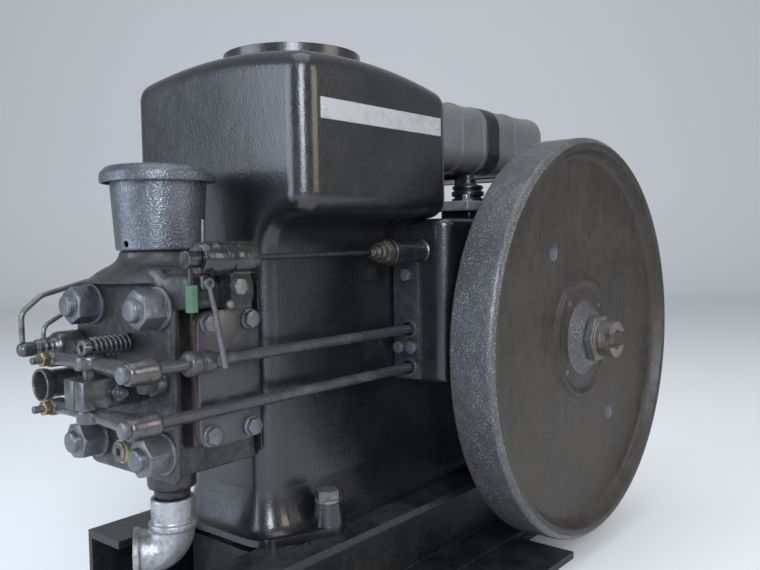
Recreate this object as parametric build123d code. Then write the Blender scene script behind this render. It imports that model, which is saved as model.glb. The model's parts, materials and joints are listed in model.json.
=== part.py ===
from build123d import *
import math
import os

# Horizontal single-cylinder engine with a water hopper, an open valve gear and one solid flywheel,
# bolted to a steel skid.
# Millimetres, +Z up. +X runs from the cylinder head to the crankcase, +Y away from the flywheel.
# The origin is on the ground, under the crankshaft, on the centreline of the cylinder.

# Skid
plate_thickness = 10.0
plate_half_width = 226.0
plate_tail_half_width = 140.0
plate_step_x = -30.0
skid_front_x = -590.0
skid_rear_x = 215.0
rail_middle_y = 104.5
rail_height = 120.0
rail_width = 65.0
rail_web = 7.0
rail_flange = 9.0
tie_thickness = 12.0
tie_end_gap = 20.0
tie_inset = 110.0
slot_length = 48.0
slot_width = 13.0
slot_offset = 62.0

# Feet and their bolts
foot_outboard = 25.0
foot_front_x = -418.0
foot_rear_x = 126.0
foot_radius = 16.0
foot_root_radius = 20.0
foot_height = 36.0
foot_web_height = 10.0
foot_web_lead = 70.0
foot_web_end_radius = 12.0
foot_spot_gap = 1.5
foot_bolt_radius = 7.0
foot_bolt_clearance = 1.0
foot_hex_across = 24.0
foot_hex_height = 11.0
foot_washer_radius = 15.0
foot_washer_height = 3.0
foot_bolt_reach = 6.0

# Engine casting
crank_above_base = 195.0
block_front_x = -490.0
block_half_width = 73.0
casting_corner = 24.0
base_corner = 42.0
base_flare_y = 24.0
base_flare_x = 18.0
base_flare_height = 66.0
base_flare_steps = 4
base_flange_height = 8.0
crankcase_front_x = -250.0
crankcase_rear_x = 180.0
crankcase_half_width = 158.0
crankcase_below_crank = 42.0
crankcase_above_crank = 175.0
crankcase_corner = 22.0
crankcase_edge = 9.0

# Hopper
hopper_overlap = 36.0
hopper_near_y = -141.5
hopper_far_y = 164.0
hopper_floor_above_crankcase = 0.0
hopper_height = 194.0
hopper_crown_radius = 800.0
hopper_crown_forward = 40.0
hopper_bottom_edge = 26.0
hopper_neck_flat = 2.0
hopper_wall = 8.0
hopper_roof = 14.0
collar_radius = 88.0
collar_wall = 10.0
collar_rise = 16.0

# Name plate
name_plate_length = 223.0
name_plate_height = 23.0
name_plate_thickness = 1.5
name_plate_below_crown = 77.0
name_plate_rear_gap = 25.0
name_plate_rivet = 3.0

# Cylinder head
head_gasket = 1.5
head_depth = 126.5
head_near_y = -82.0
head_far_y = 98.0
head_bottom_below = 95.0
head_top_above = 125.0
head_edge = 10.0
head_face_edge = 3.0
head_side_depth = 24.0
head_lip_thickness = 8.0
head_shoulder_above = 72.0
stud_mid_y = -3.0
stud_mid_above = 10.5
stud_spacing_y = 120.0
stud_spacing_z = 147.0
stud_radius = 12.0
stud_stand_out = 8.0
stud_hex_across = 36.0
stud_hex_height = 24.0
stud_washer_radius = 22.0
stud_washer_height = 4.0
lobe_stand_out = 26.0
lobe_length = 84.0
lobe_cover_gap = 3.0
lobe_height = 33.0

# Intake and exhaust
intake_setback = 47.5
exhaust_setback = 53.0
neck_root_radius = 42.0
neck_radius = 33.0
neck_height = 20.0
can_bottom_radius = 46.0
can_top_radius = 52.0
can_height = 82.0
can_hole_radius = 3.5
can_hole_rise = 10.0
can_hole_heading_deg = 210.0
cap_radius = 61.5
cap_height = 20.0
cap_rim_depth = 10.0
cap_wall = 2.0
cap_gap = 1.0
socket_radius = 27.0
socket_height = 26.0
socket_ring_radius = 20.0
socket_ring_height = 12.0
elbow_outer_radius = 24.0
elbow_bore_radius = 19.0
elbow_bead_radius = 27.0
elbow_bead_length = 7.0
elbow_collar_length = 27.0
elbow_bend_radius = 26.0
elbow_outlet_length = 10.0
elbow_heading_deg = 143.0

# Side cover of the head's water jacket
cover_setback = 26.0
cover_seat_proud = 3.0
cover_length = 80.0
cover_bottom_below = 62.0
cover_height = 142.0
cover_corner = 16.0
cover_thickness = 8.0
cover_gasket = 3.0
cover_bolt_inset = 13.0
cover_hex_across = 17.0
cover_hex_height = 7.0

# Plugs in the head's face
drain_plug_y = 11.0
drain_plug_below = 72.0
drain_plug_radius = 11.0
drain_plug_height = 6.0
drain_socket_side = 8.0
relief_y = -60.0
relief_above = 10.0
relief_radius = 13.0
relief_length = 22.0
relief_hex_across = 19.0

# Rocker pedestal and pin
rocker_pin_stand_off = 47.0
rocker_pin_y = -10.0
rocker_pin_radius = 7.0
rocker_pin_clearance = 0.05
pedestal_half_width = 18.0
pedestal_top_above = 15.0
pedestal_front_depth = 18.0
pedestal_slit = 1.5
pedestal_bolt_radius = 5.0
pedestal_hex_across = 17.0
pedestal_hex_height = 8.0

# Rockers
rocker_thickness = 12.0
rocker_side_gap = 1.0
upper_rocker_above = 30.0
lower_rocker_below = 21.0
rocker_hub_radius = 14.0
rocker_near_y = -101.0
rocker_near_lead = 11.0
rocker_near_radius = 10.0
rocker_far_y = 56.0
rocker_far_lead = 1.0
rocker_far_radius = 9.0
rocker_arm_half_width = 7.0
rocker_web_depth = 11.0
rocker_web_half_length = 32.0
ball_radius = 8.5
ball_drop = 7.0
adjuster_radius = 4.0
adjuster_front = 26.0
adjuster_back = 13.0
locknut_across = 14.0
locknut_height = 7.0

# Valves and their springs
valve_tip_gap = 0.3
valve_stem_radius = 4.5
valve_guide_clearance = 0.05
valve_stem_in_guide = 22.0
valve_guide_depth = 38.0
retainer_radius = 14.0
retainer_thickness = 4.0
retainer_setback = 5.0
spring_wire = 3.2
spring_coil_radius = 10.5
spring_turns = 3.5
spring_seat_gap = 0.3

# Pushrods
rod_radius = 5.0
rod_end_radius = 9.0
rod_end_length = 12.0
rod_rocker_gap = 0.4
rod_tappet_depth = 22.0
rod_tappet_length = 24.0
rod_tappet_clearance = 0.05
tappet_bore_radius = 9.0
tappet_bore_depth = 34.0
rod_collar_radius = 12.5
rod_collar_setback = 3.0
rod_collar_length = 13.0
rod_nut_across = 19.0
rod_nut_length = 12.0
rod_small_nut_radius = 7.5
rod_small_nut_length = 13.0

# Tappet plate on the crankcase face
tappet_plate_thickness = 8.0
tappet_plate_outboard = 16.0
tappet_plate_inboard = 25.0
tappet_plate_bottom_below = 36.0
tappet_plate_top_above = 140.0
tappet_ring_radius = 12.5
tappet_ring_height = 3.0
tappet_bolt_across = 13.0
tappet_bolt_height = 6.0

# Control bracket, control rod, guide tube and release lever
control_outboard = 17.0
control_above_crank = 133.0
bracket_setback = 18.0
bracket_length = 55.0
bracket_radius = 17.0
bracket_bore_clearance = 0.05
bracket_collar_radius = 15.0
bracket_collar_length = 12.0
post_length = 26.0
post_width = 20.0
control_rod_radius = 2.5
control_head_radius = 8.5
control_head_length = 14.0
control_head_gap = 1.0
grip_stem_radius = 2.5
grip_stem_length = 16.0
grip_length = 26.0
grip_radius = 5.5
guide_tube_radius = 13.5
guide_flange_radius = 17.0
guide_flange_height = 4.0
guide_tube_length = 80.0
guide_nut_across = 24.0
guide_nut_length = 14.0
guide_tip_radius = 5.0
guide_tip_length = 9.0
lever_width = 6.0
lever_thickness = 3.0
lever_setback = 0.0
lever_lean = 22.0
lever_drop = 92.0
lever_eye_radius = 6.0
lever_pin_radius = 3.0
lever_gap = 0.3
lever_top_gap = 1.0
lever_lug_depth = 6.0

# Injector and its pipes
injector_y = 91.0
injector_above = 38.0
injector_flange_radius = 16.0
injector_flange_length = 33.0
injector_hex_across = 17.0
injector_hex_length = 17.0
injector_nut_radius = 8.0
injector_nut_length = 20.0
injector_pipe_end = 5.0
pipe_radius = 3.0
pipe_reach = 72.0
pipe_stand_off = 15.0
pipe_rise = 31.0
pipe_shoulder_run = 26.0
pipe_shoulder_rise = 17.0
pipe_crest_setback = 22.0
pipe_crest_above = 110.0
pipe_bends = (14.0, 26.0, 30.0, 14.0)
pipe_seat_gap = 0.1
return_pipe_radius = 2.5
return_pipe_spacing = 26.0
return_pipe_rise = 14.0
return_pipe_crest_above = 88.0
return_pipe_bends = (12.0, 18.0, 12.0)
fitting_height = 24.0
fitting_arm_width = 14.0

# Collar of the combustion chamber and the spring plunger above the rocker pin
chamber_y = 76.0
chamber_below = 3.0
chamber_radius = 17.0
chamber_bore_radius = 10.0
chamber_length = 28.0
plunger_y = -10.0
plunger_above = 46.0
plunger_radius = 7.0
plunger_length = 54.0
plunger_ring_length = 8.0
plunger_stem_radius = 4.2

# Flywheel and crankshaft
flywheel_radius = 290.0
flywheel_width = 62.0
flywheel_gap = 28.0
flywheel_crown = 6.0
flywheel_lip_width = 19.0
flywheel_rim_thickness = 29.0
flywheel_web_recess = 22.0
flywheel_web_thickness = 22.0
flywheel_boss_radius = 88.0
flywheel_boss_rise = 3.0
flywheel_hub_radius = 60.0
flywheel_hub_rear_gap = 2.0
collar_cone_base = 52.0
collar_cone_top = 38.0
collar_cone_height = 15.0
balance_hole_radius = 12.0
balance_hole_circle = 157.0
boss_hole_radius = 4.5
boss_hole_circle = 70.0
crank_radius = 27.0
crank_clearance = 0.05
crank_bore_depth = 60.0
hub_nut_across = 62.0
hub_nut_length = 12.0
dog_radius = 26.0
dog_length = 24.0
dog_bore_radius = 14.0
dog_slot_width = 20.0
dog_slot_depth = 16.0

# Bearing housings and crankcase door
housing_radius = 110.0
housing_thickness = 12.0
housing_bolt_circle = 96.0
housing_bolt_across = 17.0
housing_bolt_height = 6.0
door_width = 220.0
door_height = 170.0
door_thickness = 8.0
door_corner = 24.0
door_bolt_inset = 14.0

# Fuel tank, strap and cradle
tank_setback = 64.0
tank_length = 282.0
tank_half_width = 108.0
tank_bottom_above_crankcase = 70.0
tank_height = 98.0
tank_corner = 30.0
tank_wall = 2.0
tank_end_thickness = 3.0
tank_bead_setbacks = (54.0, 111.0, 203.0)
tank_bead_width = 8.0
tank_bead_rise = 1.5
strap_setback = 133.0
strap_width = 32.0
strap_thickness = 1.5
strap_gap = 0.3
cradle_half_width = 58.0
cradle_wall = 5.0
tank_cap_setback = 82.5
tank_cap_radius = 23.0
tank_cap_height = 14.0

# Breather on the crankcase
breather_setback = 133.0
breather_inset = 54.0
breather_plate_length = 96.0
breather_plate_width = 62.0
breather_plate_height = 14.0
breather_pad_height = 12.0
breather_cup_radius = 16.0
breather_cup_height = 18.0
breather_disc_radius = 10.5
breather_disc_height = 6.0
breather_stem_radius = 6.0
breather_height = 38.0

# Places that follow from the sizes above
base_z = plate_thickness + rail_height
foot_bolt_y = block_half_width + foot_outboard
hopper_rear_x = crankcase_front_x + hopper_overlap
hopper_middle_y = (hopper_near_y + hopper_far_y) / 2
collar_x = (block_front_x + hopper_rear_x) / 2
hopper_crown_x = collar_x - hopper_crown_forward
crank_z = base_z + crank_above_base
crankcase_floor_z = crank_z - crankcase_below_crank
crankcase_top_z = crank_z + crankcase_above_crank
hopper_floor_z = crankcase_top_z + hopper_floor_above_crankcase
hopper_crown_z = hopper_floor_z + hopper_height
head_back_x = block_front_x - head_gasket
head_face_x = head_back_x - head_depth
intake_x = head_face_x + intake_setback
exhaust_x = head_face_x + exhaust_setback
cover_front_x = head_face_x + cover_setback
cover_seat_y = head_near_y + cover_seat_proud
head_bottom_z = crank_z - head_bottom_below
head_top_z = crank_z + head_top_above
upper_rocker_z = crank_z + upper_rocker_above
lower_rocker_z = crank_z - lower_rocker_below
flywheel_rear_y = -crankcase_half_width - flywheel_gap
flywheel_front_y = flywheel_rear_y - flywheel_width
web_front_y = flywheel_front_y + flywheel_web_recess
crankcase_near_y = -crankcase_half_width
control_z = crank_z + control_above_crank
control_y = rocker_near_y - control_outboard
rocker_pin_x = head_face_x - rocker_pin_stand_off
rocker_near_x = rocker_pin_x - rocker_near_lead
rocker_far_x = rocker_pin_x - rocker_far_lead
rod_collar_x = head_face_x + rod_collar_setback
tappet_plate_near_y = rocker_near_y - tappet_plate_outboard
tappet_plate_far_y = rocker_near_y + tappet_plate_inboard
bracket_front_x = head_face_x + bracket_setback
bracket_rear_x = bracket_front_x + bracket_length
lever_pivot_x = bracket_front_x + lever_setback
cover_bottom_z = crank_z - cover_bottom_below
cover_top_z = cover_bottom_z + cover_height
lobe_bottom_z = cover_top_z + lobe_cover_gap
lobe_top_z = lobe_bottom_z + lobe_height
stud_ys = (stud_mid_y - stud_spacing_y / 2, stud_mid_y + stud_spacing_y / 2)
stud_zs = (crank_z + stud_mid_above - stud_spacing_z / 2, crank_z + stud_mid_above + stud_spacing_z / 2)
foot_xs = (foot_front_x, foot_rear_x)
tank_bottom_z = crankcase_top_z + tank_bottom_above_crankcase
tank_front_x = crankcase_front_x + tank_setback
tank_rear_x = tank_front_x + tank_length
strap_middle_x = tank_front_x + strap_setback
tank_cap_x = tank_front_x + tank_cap_setback
breather_x = crankcase_front_x + breather_setback
breather_y = -crankcase_half_width + breather_inset


# Small shapes

def block(x0, x1, y0, y1, z0, z1):
    """A block between two corners."""
    return Pos((x0 + x1) / 2, (y0 + y1) / 2, (z0 + z1) / 2) * Box(x1 - x0, y1 - y0, z1 - z0)


def rod_x(x0, x1, y, z, radius):
    """A round bar along X."""
    return Pos((x0 + x1) / 2, y, z) * Rot(0, 90, 0) * Cylinder(radius, x1 - x0)


def rod_y(y0, y1, x, z, radius):
    """A round bar along Y."""
    return Pos(x, (y0 + y1) / 2, z) * Rot(90, 0, 0) * Cylinder(radius, y1 - y0)


def rod_z(z0, z1, x, y, radius):
    """A round bar along Z."""
    return Pos(x, y, (z0 + z1) / 2) * Cylinder(radius, z1 - z0)


def hexagon(across):
    """A hexagon with the given size across its flats."""
    return RegularPolygon(across / 2, 6, major_radius=False)


def hex_x(x0, x1, y, z, across):
    """A hexagon bar along X."""
    return extrude(Plane((x0, y, z), x_dir=(0, 1, 0), z_dir=(1, 0, 0)) * hexagon(across), x1 - x0)


def hex_y(y0, y1, x, z, across):
    """A hexagon bar along Y."""
    return extrude(Plane((x, y0, z), x_dir=(1, 0, 0), z_dir=(0, 1, 0)) * hexagon(across), y1 - y0)


def hex_z(z0, z1, x, y, across):
    """A hexagon bar along Z."""
    return extrude(Plane((x, y, z0)) * hexagon(across), z1 - z0)


def across_x(points, x0, x1, corner=0.0):
    """A prism along X whose outline is given as Y, Z points."""
    outline = Polygon(*points, align=None)
    if corner > 0:
        outline = fillet(outline.vertices(), corner)
    return extrude(Plane((x0, 0, 0), x_dir=(0, 1, 0), z_dir=(1, 0, 0)) * outline, x1 - x0)


def turned(points, plane):
    """A ring or disc turned from radius, height points about the Z axis of the plane."""
    outline = make_face(Polyline(*[(radius, 0, height) for radius, height in points], close=True))
    return plane.location * revolve(outline, Axis.Z)


def along_x(outline, x0, x1):
    """An outline in Y and Z drawn out between two X values."""
    return extrude(Plane((x0, 0, 0), x_dir=(0, 1, 0), z_dir=(1, 0, 0)) * outline, x1 - x0)


# Skid

def skid_plate():
    """The flat plate on the ground under both rails, wider at the front than at the tail."""
    wide = block(skid_front_x, plate_step_x, -plate_half_width, plate_half_width, 0, plate_thickness)
    half = plate_tail_half_width
    return wide + block(plate_step_x, skid_rear_x, -half, half, 0, plate_thickness)


def rail(side):
    """A channel along X under the feet of one side. Its web is on the edge away from the flywheel."""
    near = side * rail_middle_y - rail_width / 2
    far = near + rail_width
    web = far - rail_web
    channel = block(skid_front_x, skid_rear_x, near, far, plate_thickness, base_z)
    channel -= block(skid_front_x, skid_rear_x, near, web, plate_thickness + rail_flange,
                     base_z - rail_flange)
    for foot_x in foot_xs:
        channel -= rod_z(plate_thickness, base_z + 1, foot_x, side * foot_bolt_y,
                         foot_bolt_radius + foot_bolt_clearance)
        slot = SlotOverall(slot_length, slot_width)
        place = Plane((foot_x - slot_offset, side * rail_middle_y, base_z - rail_flange))
        channel -= extrude(place * slot, rail_flange)
    return channel


def rail_ties():
    """Two upright plates across the skid, between the rails."""
    half = rail_middle_y - rail_width / 2
    ties = []
    for middle in (skid_front_x + tie_inset, skid_rear_x - tie_inset):
        ties.append(block(middle - tie_thickness / 2, middle + tie_thickness / 2, -half, half,
                          plate_thickness, base_z - tie_end_gap))
    return Compound(children=ties)


def foot_bolts():
    """Four hexagon bolts with washers that hold the feet to the rails."""
    bolts = []
    top = base_z + foot_height
    for side in (-1, 1):
        for foot_x in foot_xs:
            y = side * foot_bolt_y
            bolt = rod_z(base_z - rail_flange - foot_bolt_reach, top, foot_x, y, foot_bolt_radius)
            bolt += rod_z(top, top + foot_washer_height, foot_x, y, foot_washer_radius)
            bolt += hex_z(top + foot_washer_height, top + foot_washer_height + foot_hex_height,
                          foot_x, y, foot_hex_across)
            bolts.append(bolt)
    return Compound(children=bolts)


# Engine casting

def front_outline():
    """The casting seen from the front: a narrow block, hollow necks and the wide hopper over them."""
    top = hopper_crown_z + hopper_wall
    floor_z = hopper_floor_z
    corners = [(-block_half_width, base_z), (block_half_width, base_z), (block_half_width, floor_z),
               (hopper_far_y, floor_z), (hopper_far_y, top), (hopper_near_y, top),
               (hopper_near_y, floor_z), (-block_half_width, floor_z)]
    outline = Polygon(*corners, align=None)
    for side, hopper_y in ((-1, hopper_near_y), (1, hopper_far_y)):
        root = nearest_vertex(outline, (side * block_half_width, floor_z, 0))
        neck = side * hopper_y - block_half_width - hopper_bottom_edge - hopper_neck_flat
        outline = fillet(root, neck)
        edge = nearest_vertex(outline, (hopper_y, floor_z, 0))
        outline = fillet(edge, hopper_bottom_edge)
    return outline


def nearest_vertex(sketch, place):
    """The corner of a sketch that lies nearest to a place."""
    return sketch.vertices().sort_by_distance(place)[0]


def hopper_crown(drop):
    """The ball whose top is the hopper's crowned roof, lowered by the drop."""
    middle = Pos(hopper_crown_x, hopper_middle_y, hopper_crown_z - hopper_crown_radius)
    return middle * Sphere(hopper_crown_radius - drop)


def block_and_hopper():
    """The front of the casting, from the narrow block up to the crowned hopper and its filler collar."""
    form = along_x(front_outline(), block_front_x, hopper_rear_x) & hopper_crown(0.0)
    flat_ends = form.faces().filter_by(Axis.X).sort_by(Axis.X)
    front, rear = flat_ends[0], flat_ends[-1]
    roof = form.faces().sort_by(Axis.Z)[-1]
    rims = [edge for face in (front, rear) for edge in face.edges() if edge.center().Z > base_z + 1]
    rims += [edge for edge in roof.edges() if not any(edge.is_same(rim) for rim in rims)]
    form = fillet(rims, casting_corner)
    collar = rod_z(hopper_crown_z - hopper_roof, hopper_crown_z + collar_rise, collar_x, hopper_middle_y,
                   collar_radius)
    return form + collar


def hopper_cavity():
    """The water space inside the hopper and its round filler opening."""
    x0 = block_front_x + hopper_wall
    x1 = hopper_rear_x - hopper_wall
    y0 = hopper_near_y + hopper_wall
    y1 = hopper_far_y - hopper_wall
    floor_z = hopper_floor_z + hopper_wall
    plan = RectangleRounded(x1 - x0, y1 - y0, casting_corner - hopper_wall)
    tall = hopper_crown_z - floor_z
    space = extrude(Plane(((x0 + x1) / 2, hopper_middle_y, floor_z)) * plan, tall)
    section = Rectangle(y1 - y0, tall)
    section = fillet(section.vertices().group_by(Axis.Y)[0], hopper_bottom_edge - hopper_wall)
    trough = along_x(Pos(hopper_middle_y, floor_z + tall / 2) * section, x0, x1)
    mouth = rod_z(hopper_crown_z - 2 * hopper_roof, hopper_crown_z + collar_rise + 1, collar_x,
                  hopper_middle_y, collar_radius - collar_wall)
    return (space & trough & hopper_crown(hopper_roof)) + mouth


def sump():
    """The narrow lower body that runs on under the crankcase to the rear."""
    return block(block_front_x + casting_corner, crankcase_rear_x, -block_half_width, block_half_width,
                 base_z, crankcase_top_z - crankcase_edge)


def base_skirt():
    """The foot of the block: a flat flange that the sides reach in a hollow curve."""
    length = crankcase_rear_x - block_front_x
    middle = (crankcase_rear_x + block_front_x) / 2
    rings = []
    for step in range(base_flare_steps + 1):
        turn = math.radians(90 * step / base_flare_steps)
        spread = 1 - math.sin(turn)
        rise = base_flange_height + (base_flare_height - base_flange_height) * (1 - math.cos(turn))
        corner = casting_corner + (base_corner - casting_corner) * spread
        rings.append(Plane((middle, 0, base_z + rise)) * RectangleRounded(
            length + 2 * base_flare_x * spread, 2 * (block_half_width + base_flare_y * spread), corner))
    flange = Plane((middle, 0, base_z)) * RectangleRounded(
        length + 2 * base_flare_x, 2 * (block_half_width + base_flare_y), base_corner)
    return extrude(flange, base_flange_height) + loft(rings)


def foot(side, foot_x, lead):
    """One bolt foot: a tapered boss on a flat web that leads along the base to its nearest corner."""
    y = side * foot_bolt_y
    boss = turned([(0, 0), (foot_root_radius, 0), (foot_radius, foot_height), (0, foot_height)],
                  Plane((foot_x, y, base_z)))
    inner = block_half_width + foot_web_end_radius / 2
    ends = [Pos(foot_x, y) * Circle(foot_root_radius),
            Pos(foot_x + lead * foot_web_lead, side * inner) * Circle(foot_web_end_radius),
            Pos(foot_x - lead * foot_web_lead / 2, side * inner) * Circle(foot_web_end_radius)]
    web = make_hull([edge for end in ends for edge in end.edges()])
    return boss + extrude(Plane((0, 0, base_z)) * web, foot_web_height)


def engine_feet():
    """The four bolt feet along the base, each drilled for its bolt."""
    feet = []
    for side in (-1, 1):
        for foot_x, lead in ((foot_front_x, -1), (foot_rear_x, 1)):
            piece = foot(side, foot_x, lead) - base_skirt() - sump()
            piece -= rod_z(base_z - 1, base_z + foot_height + 1, foot_x, side * foot_bolt_y,
                           foot_bolt_radius + foot_bolt_clearance)
            feet.append(piece)
    return Compound(children=feet)


def crankcase():
    """The wide upper crankcase that carries the crankshaft."""
    plan = RectangleRounded(crankcase_rear_x - crankcase_front_x, 2 * crankcase_half_width, crankcase_corner)
    middle = (crankcase_rear_x + crankcase_front_x) / 2
    body = extrude(Plane((middle, 0, crankcase_floor_z)) * plan, crankcase_top_z - crankcase_floor_z)
    rims = body.faces().sort_by(Axis.Z)[-1].edges() + body.faces().sort_by(Axis.Z)[0].edges()
    return fillet(rims, crankcase_edge)


def engine_block():
    """The one casting of hopper, block, crankcase and base, hollow at the hopper."""
    body = block_and_hopper() + sump() + base_skirt() + crankcase() - hopper_cavity()
    for side in (-1, 1):
        for foot_x in foot_xs:
            y = side * foot_bolt_y
            body -= rod_z(base_z - 1, base_z + foot_height, foot_x, y, foot_bolt_radius + foot_bolt_clearance)
            body -= rod_z(base_z + foot_height, base_z + base_flare_height + 1, foot_x, y,
                          foot_washer_radius + foot_spot_gap)
    body -= rod_y(crankcase_near_y - 1, crankcase_near_y + crank_bore_depth, 0, crank_z,
                  crank_radius + crank_clearance)
    for z in (upper_rocker_z, lower_rocker_z):
        body -= rod_x(crankcase_front_x - 1, crankcase_front_x + tappet_bore_depth, rocker_near_y, z,
                      tappet_bore_radius)
    return body


def bearing_housings():
    """Round bearing covers on both sides of the crankcase. The near one lets the crankshaft through."""
    covers = []
    for side in (-1, 1):
        y0 = side * crankcase_half_width
        y1 = side * (crankcase_half_width + housing_thickness)
        low, high = min(y0, y1), max(y0, y1)
        cover = rod_y(low, high, 0, crank_z, housing_radius)
        if side < 0:
            cover -= rod_y(low - 1, high + 1, 0, crank_z, crank_radius + crank_clearance)
        covers.append(cover)
    return Compound(children=covers)


def housing_bolts():
    """Six hexagon heads on the closed bearing cover of the far side."""
    bolts = []
    y0 = crankcase_half_width + housing_thickness
    for step in range(6):
        angle = math.radians(60 * step + 30)
        bolts.append(hex_y(y0, y0 + housing_bolt_height, housing_bolt_circle * math.cos(angle),
                           crank_z + housing_bolt_circle * math.sin(angle), housing_bolt_across))
    return Compound(children=bolts)


def crankcase_door():
    """The flat cover on the rear of the crankcase, with its corner bolts."""
    middle_z = (crankcase_floor_z + crankcase_top_z) / 2
    face = Plane((crankcase_rear_x, 0, middle_z), x_dir=(0, 1, 0), z_dir=(1, 0, 0))
    door = extrude(face * RectangleRounded(door_width, door_height, door_corner), door_thickness)
    for y in (-1, 1):
        for z in (-1, 1):
            door += hex_x(crankcase_rear_x + door_thickness,
                          crankcase_rear_x + door_thickness + housing_bolt_height,
                          y * (door_width / 2 - door_bolt_inset),
                          middle_z + z * (door_height / 2 - door_bolt_inset), housing_bolt_across)
    return door


def name_plate():
    """The bare strip riveted along the hopper's near side."""
    x1 = hopper_rear_x - name_plate_rear_gap
    x0 = x1 - name_plate_length
    z = hopper_crown_z - name_plate_below_crown
    y1 = hopper_near_y
    y0 = y1 - name_plate_thickness
    plate = block(x0, x1, y0, y1, z - name_plate_height / 2, z + name_plate_height / 2)
    for x in (x0 + name_plate_rivet * 2, x1 - name_plate_rivet * 2):
        plate += rod_y(y0 - name_plate_thickness / 2, y0, x, z, name_plate_rivet)
    return plate


# Cylinder head

def head_outline():
    """The head's outline seen from the front, as Y, Z points."""
    shoulder = crank_z + head_shoulder_above
    return [(head_near_y, head_bottom_z), (head_far_y - 26, head_bottom_z), (head_far_y, head_bottom_z + 26),
            (head_far_y, shoulder + 28), (head_far_y - 28, head_top_z - 12), (20, head_top_z),
            (head_near_y + 27, head_top_z), (head_near_y, shoulder + 35)]


def head_lobe():
    """The lobe high on the near side that carries the control bracket."""
    x0 = head_face_x + head_face_edge
    y1 = head_near_y + head_side_depth + 5
    lobe = block(x0, x0 + lobe_length, head_near_y - lobe_stand_out, y1,
                 lobe_bottom_z, lobe_top_z)
    return fillet(lobe.edges().filter_by(Axis.X), head_edge)


def cylinder_head():
    """The head casting with its ports, side recess, bores for valve guides and exhaust stub."""
    head = across_x(head_outline(), head_face_x, head_back_x, head_edge)
    head = chamfer(head.faces().sort_by(Axis.X)[0].edges(), head_face_edge)
    recess_y = head_near_y + head_side_depth
    head -= block(head_face_x + head_lip_thickness, head_back_x, head_near_y - 1, recess_y,
                  head_bottom_z - 1, head_top_z + 1)
    head += block(cover_front_x, cover_front_x + cover_length, cover_seat_y, recess_y,
                  cover_bottom_z, cover_top_z)
    head += head_lobe()
    head += turned([(0, -30), (neck_root_radius, -30), (neck_root_radius, -6), (neck_radius + 2, 10),
                    (neck_radius, neck_height), (0, neck_height)], Plane((intake_x, 0, head_top_z)))
    stub_z = head_bottom_z - socket_height
    head += rod_z(stub_z, head_bottom_z + 5, exhaust_x, 0, socket_radius)
    head += rod_z(stub_z - socket_ring_height, stub_z, exhaust_x, 0, socket_ring_radius)
    for z in (upper_rocker_z, lower_rocker_z):
        head -= rod_x(head_face_x - 1, head_face_x + valve_guide_depth, rocker_far_y, z,
                      valve_stem_radius + valve_guide_clearance)
    return head


def gaskets():
    """The head gasket and the gasket under the side cover."""
    half_y = block_half_width - 6
    head_seal = block(head_back_x, block_front_x, -half_y, half_y, head_bottom_z + 8, head_top_z - 20)
    cover_seal = cover_slab(cover_seat_y - cover_gasket, cover_seat_y, 0.0)
    return Compound(children=[head_seal, cover_seal])


def cover_slab(y0, y1, inset):
    """A rounded slab of the side cover's outline between two Y values."""
    middle_x = cover_front_x + cover_length / 2
    middle_z = (cover_bottom_z + cover_top_z) / 2
    outline = RectangleRounded(cover_length - 2 * inset, cover_height - 2 * inset, cover_corner - inset)
    return extrude(Plane((middle_x, y0, middle_z), x_dir=(-1, 0, 0), z_dir=(0, 1, 0)) * outline, y1 - y0)


def jacket_cover():
    """The plate over the water jacket on the head's near side, with its four bolts."""
    y1 = cover_seat_y - cover_gasket
    y0 = y1 - cover_thickness
    cover = cover_slab(y0, y1, 0.0)
    middle_x = cover_front_x + cover_length / 2
    middle_z = (cover_bottom_z + cover_top_z) / 2
    for x in (-1, 1):
        for z in (-1, 1):
            cover += hex_y(y0 - cover_hex_height, y0,
                           middle_x + x * (cover_length / 2 - cover_bolt_inset),
                           middle_z + z * (cover_height / 2 - cover_bolt_inset), cover_hex_across)
    return cover


def head_nuts():
    """Four stud ends with their hexagon nuts and washers on the head's face."""
    pieces = []
    for y in stud_ys:
        for z in stud_zs:
            x1 = head_face_x - stud_washer_height
            x0 = x1 - stud_hex_height
            piece = rod_x(x1, head_face_x, y, z, stud_washer_radius)
            nut = hex_x(x0, x1, y, z, stud_hex_across)
            cone = rod_x(x0, x1, y, z, stud_hex_across * 0.56)
            nut = nut & chamfer(cone.edges().group_by(Axis.X)[0], 2.5)
            piece += nut
            piece += rod_x(x0 - stud_stand_out, x0, y, z, stud_radius)
            pieces.append(piece)
    return Compound(children=pieces)


def head_plugs():
    """The ringed plug low on the head and the relief valve beside the upper pushrod."""
    z = crank_z - drain_plug_below
    plug = rod_x(head_face_x - drain_plug_height, head_face_x, drain_plug_y, z, drain_plug_radius)
    half = drain_socket_side / 2
    plug -= block(head_face_x - drain_plug_height - 1, head_face_x - 1, drain_plug_y - half,
                  drain_plug_y + half, z - half, z + half)
    relief_z = crank_z + relief_above
    relief = rod_x(head_face_x - relief_length / 2, head_face_x, relief_y, relief_z, relief_radius)
    relief += hex_x(head_face_x - relief_length, head_face_x - relief_length / 2, relief_y, relief_z,
                    relief_hex_across)
    return Compound(children=[plug, relief])


# Air filter and exhaust

def air_filter_can():
    """The tapered filter can on the intake neck, open at the top, with a hole near its foot."""
    z0 = head_top_z + neck_height
    wall = cap_wall
    can = turned([(0, 0), (can_bottom_radius, 0), (can_top_radius, can_height),
                  (can_top_radius - wall, can_height), (can_bottom_radius - wall, wall), (0, wall)],
                 Plane((intake_x, 0, z0)))
    place = Pos(intake_x, 0, z0 + can_hole_rise) * Rot(0, 0, can_hole_heading_deg)
    return can - place * rod_x(can_bottom_radius - 8, can_bottom_radius + 8, 0, 0, can_hole_radius)


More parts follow.
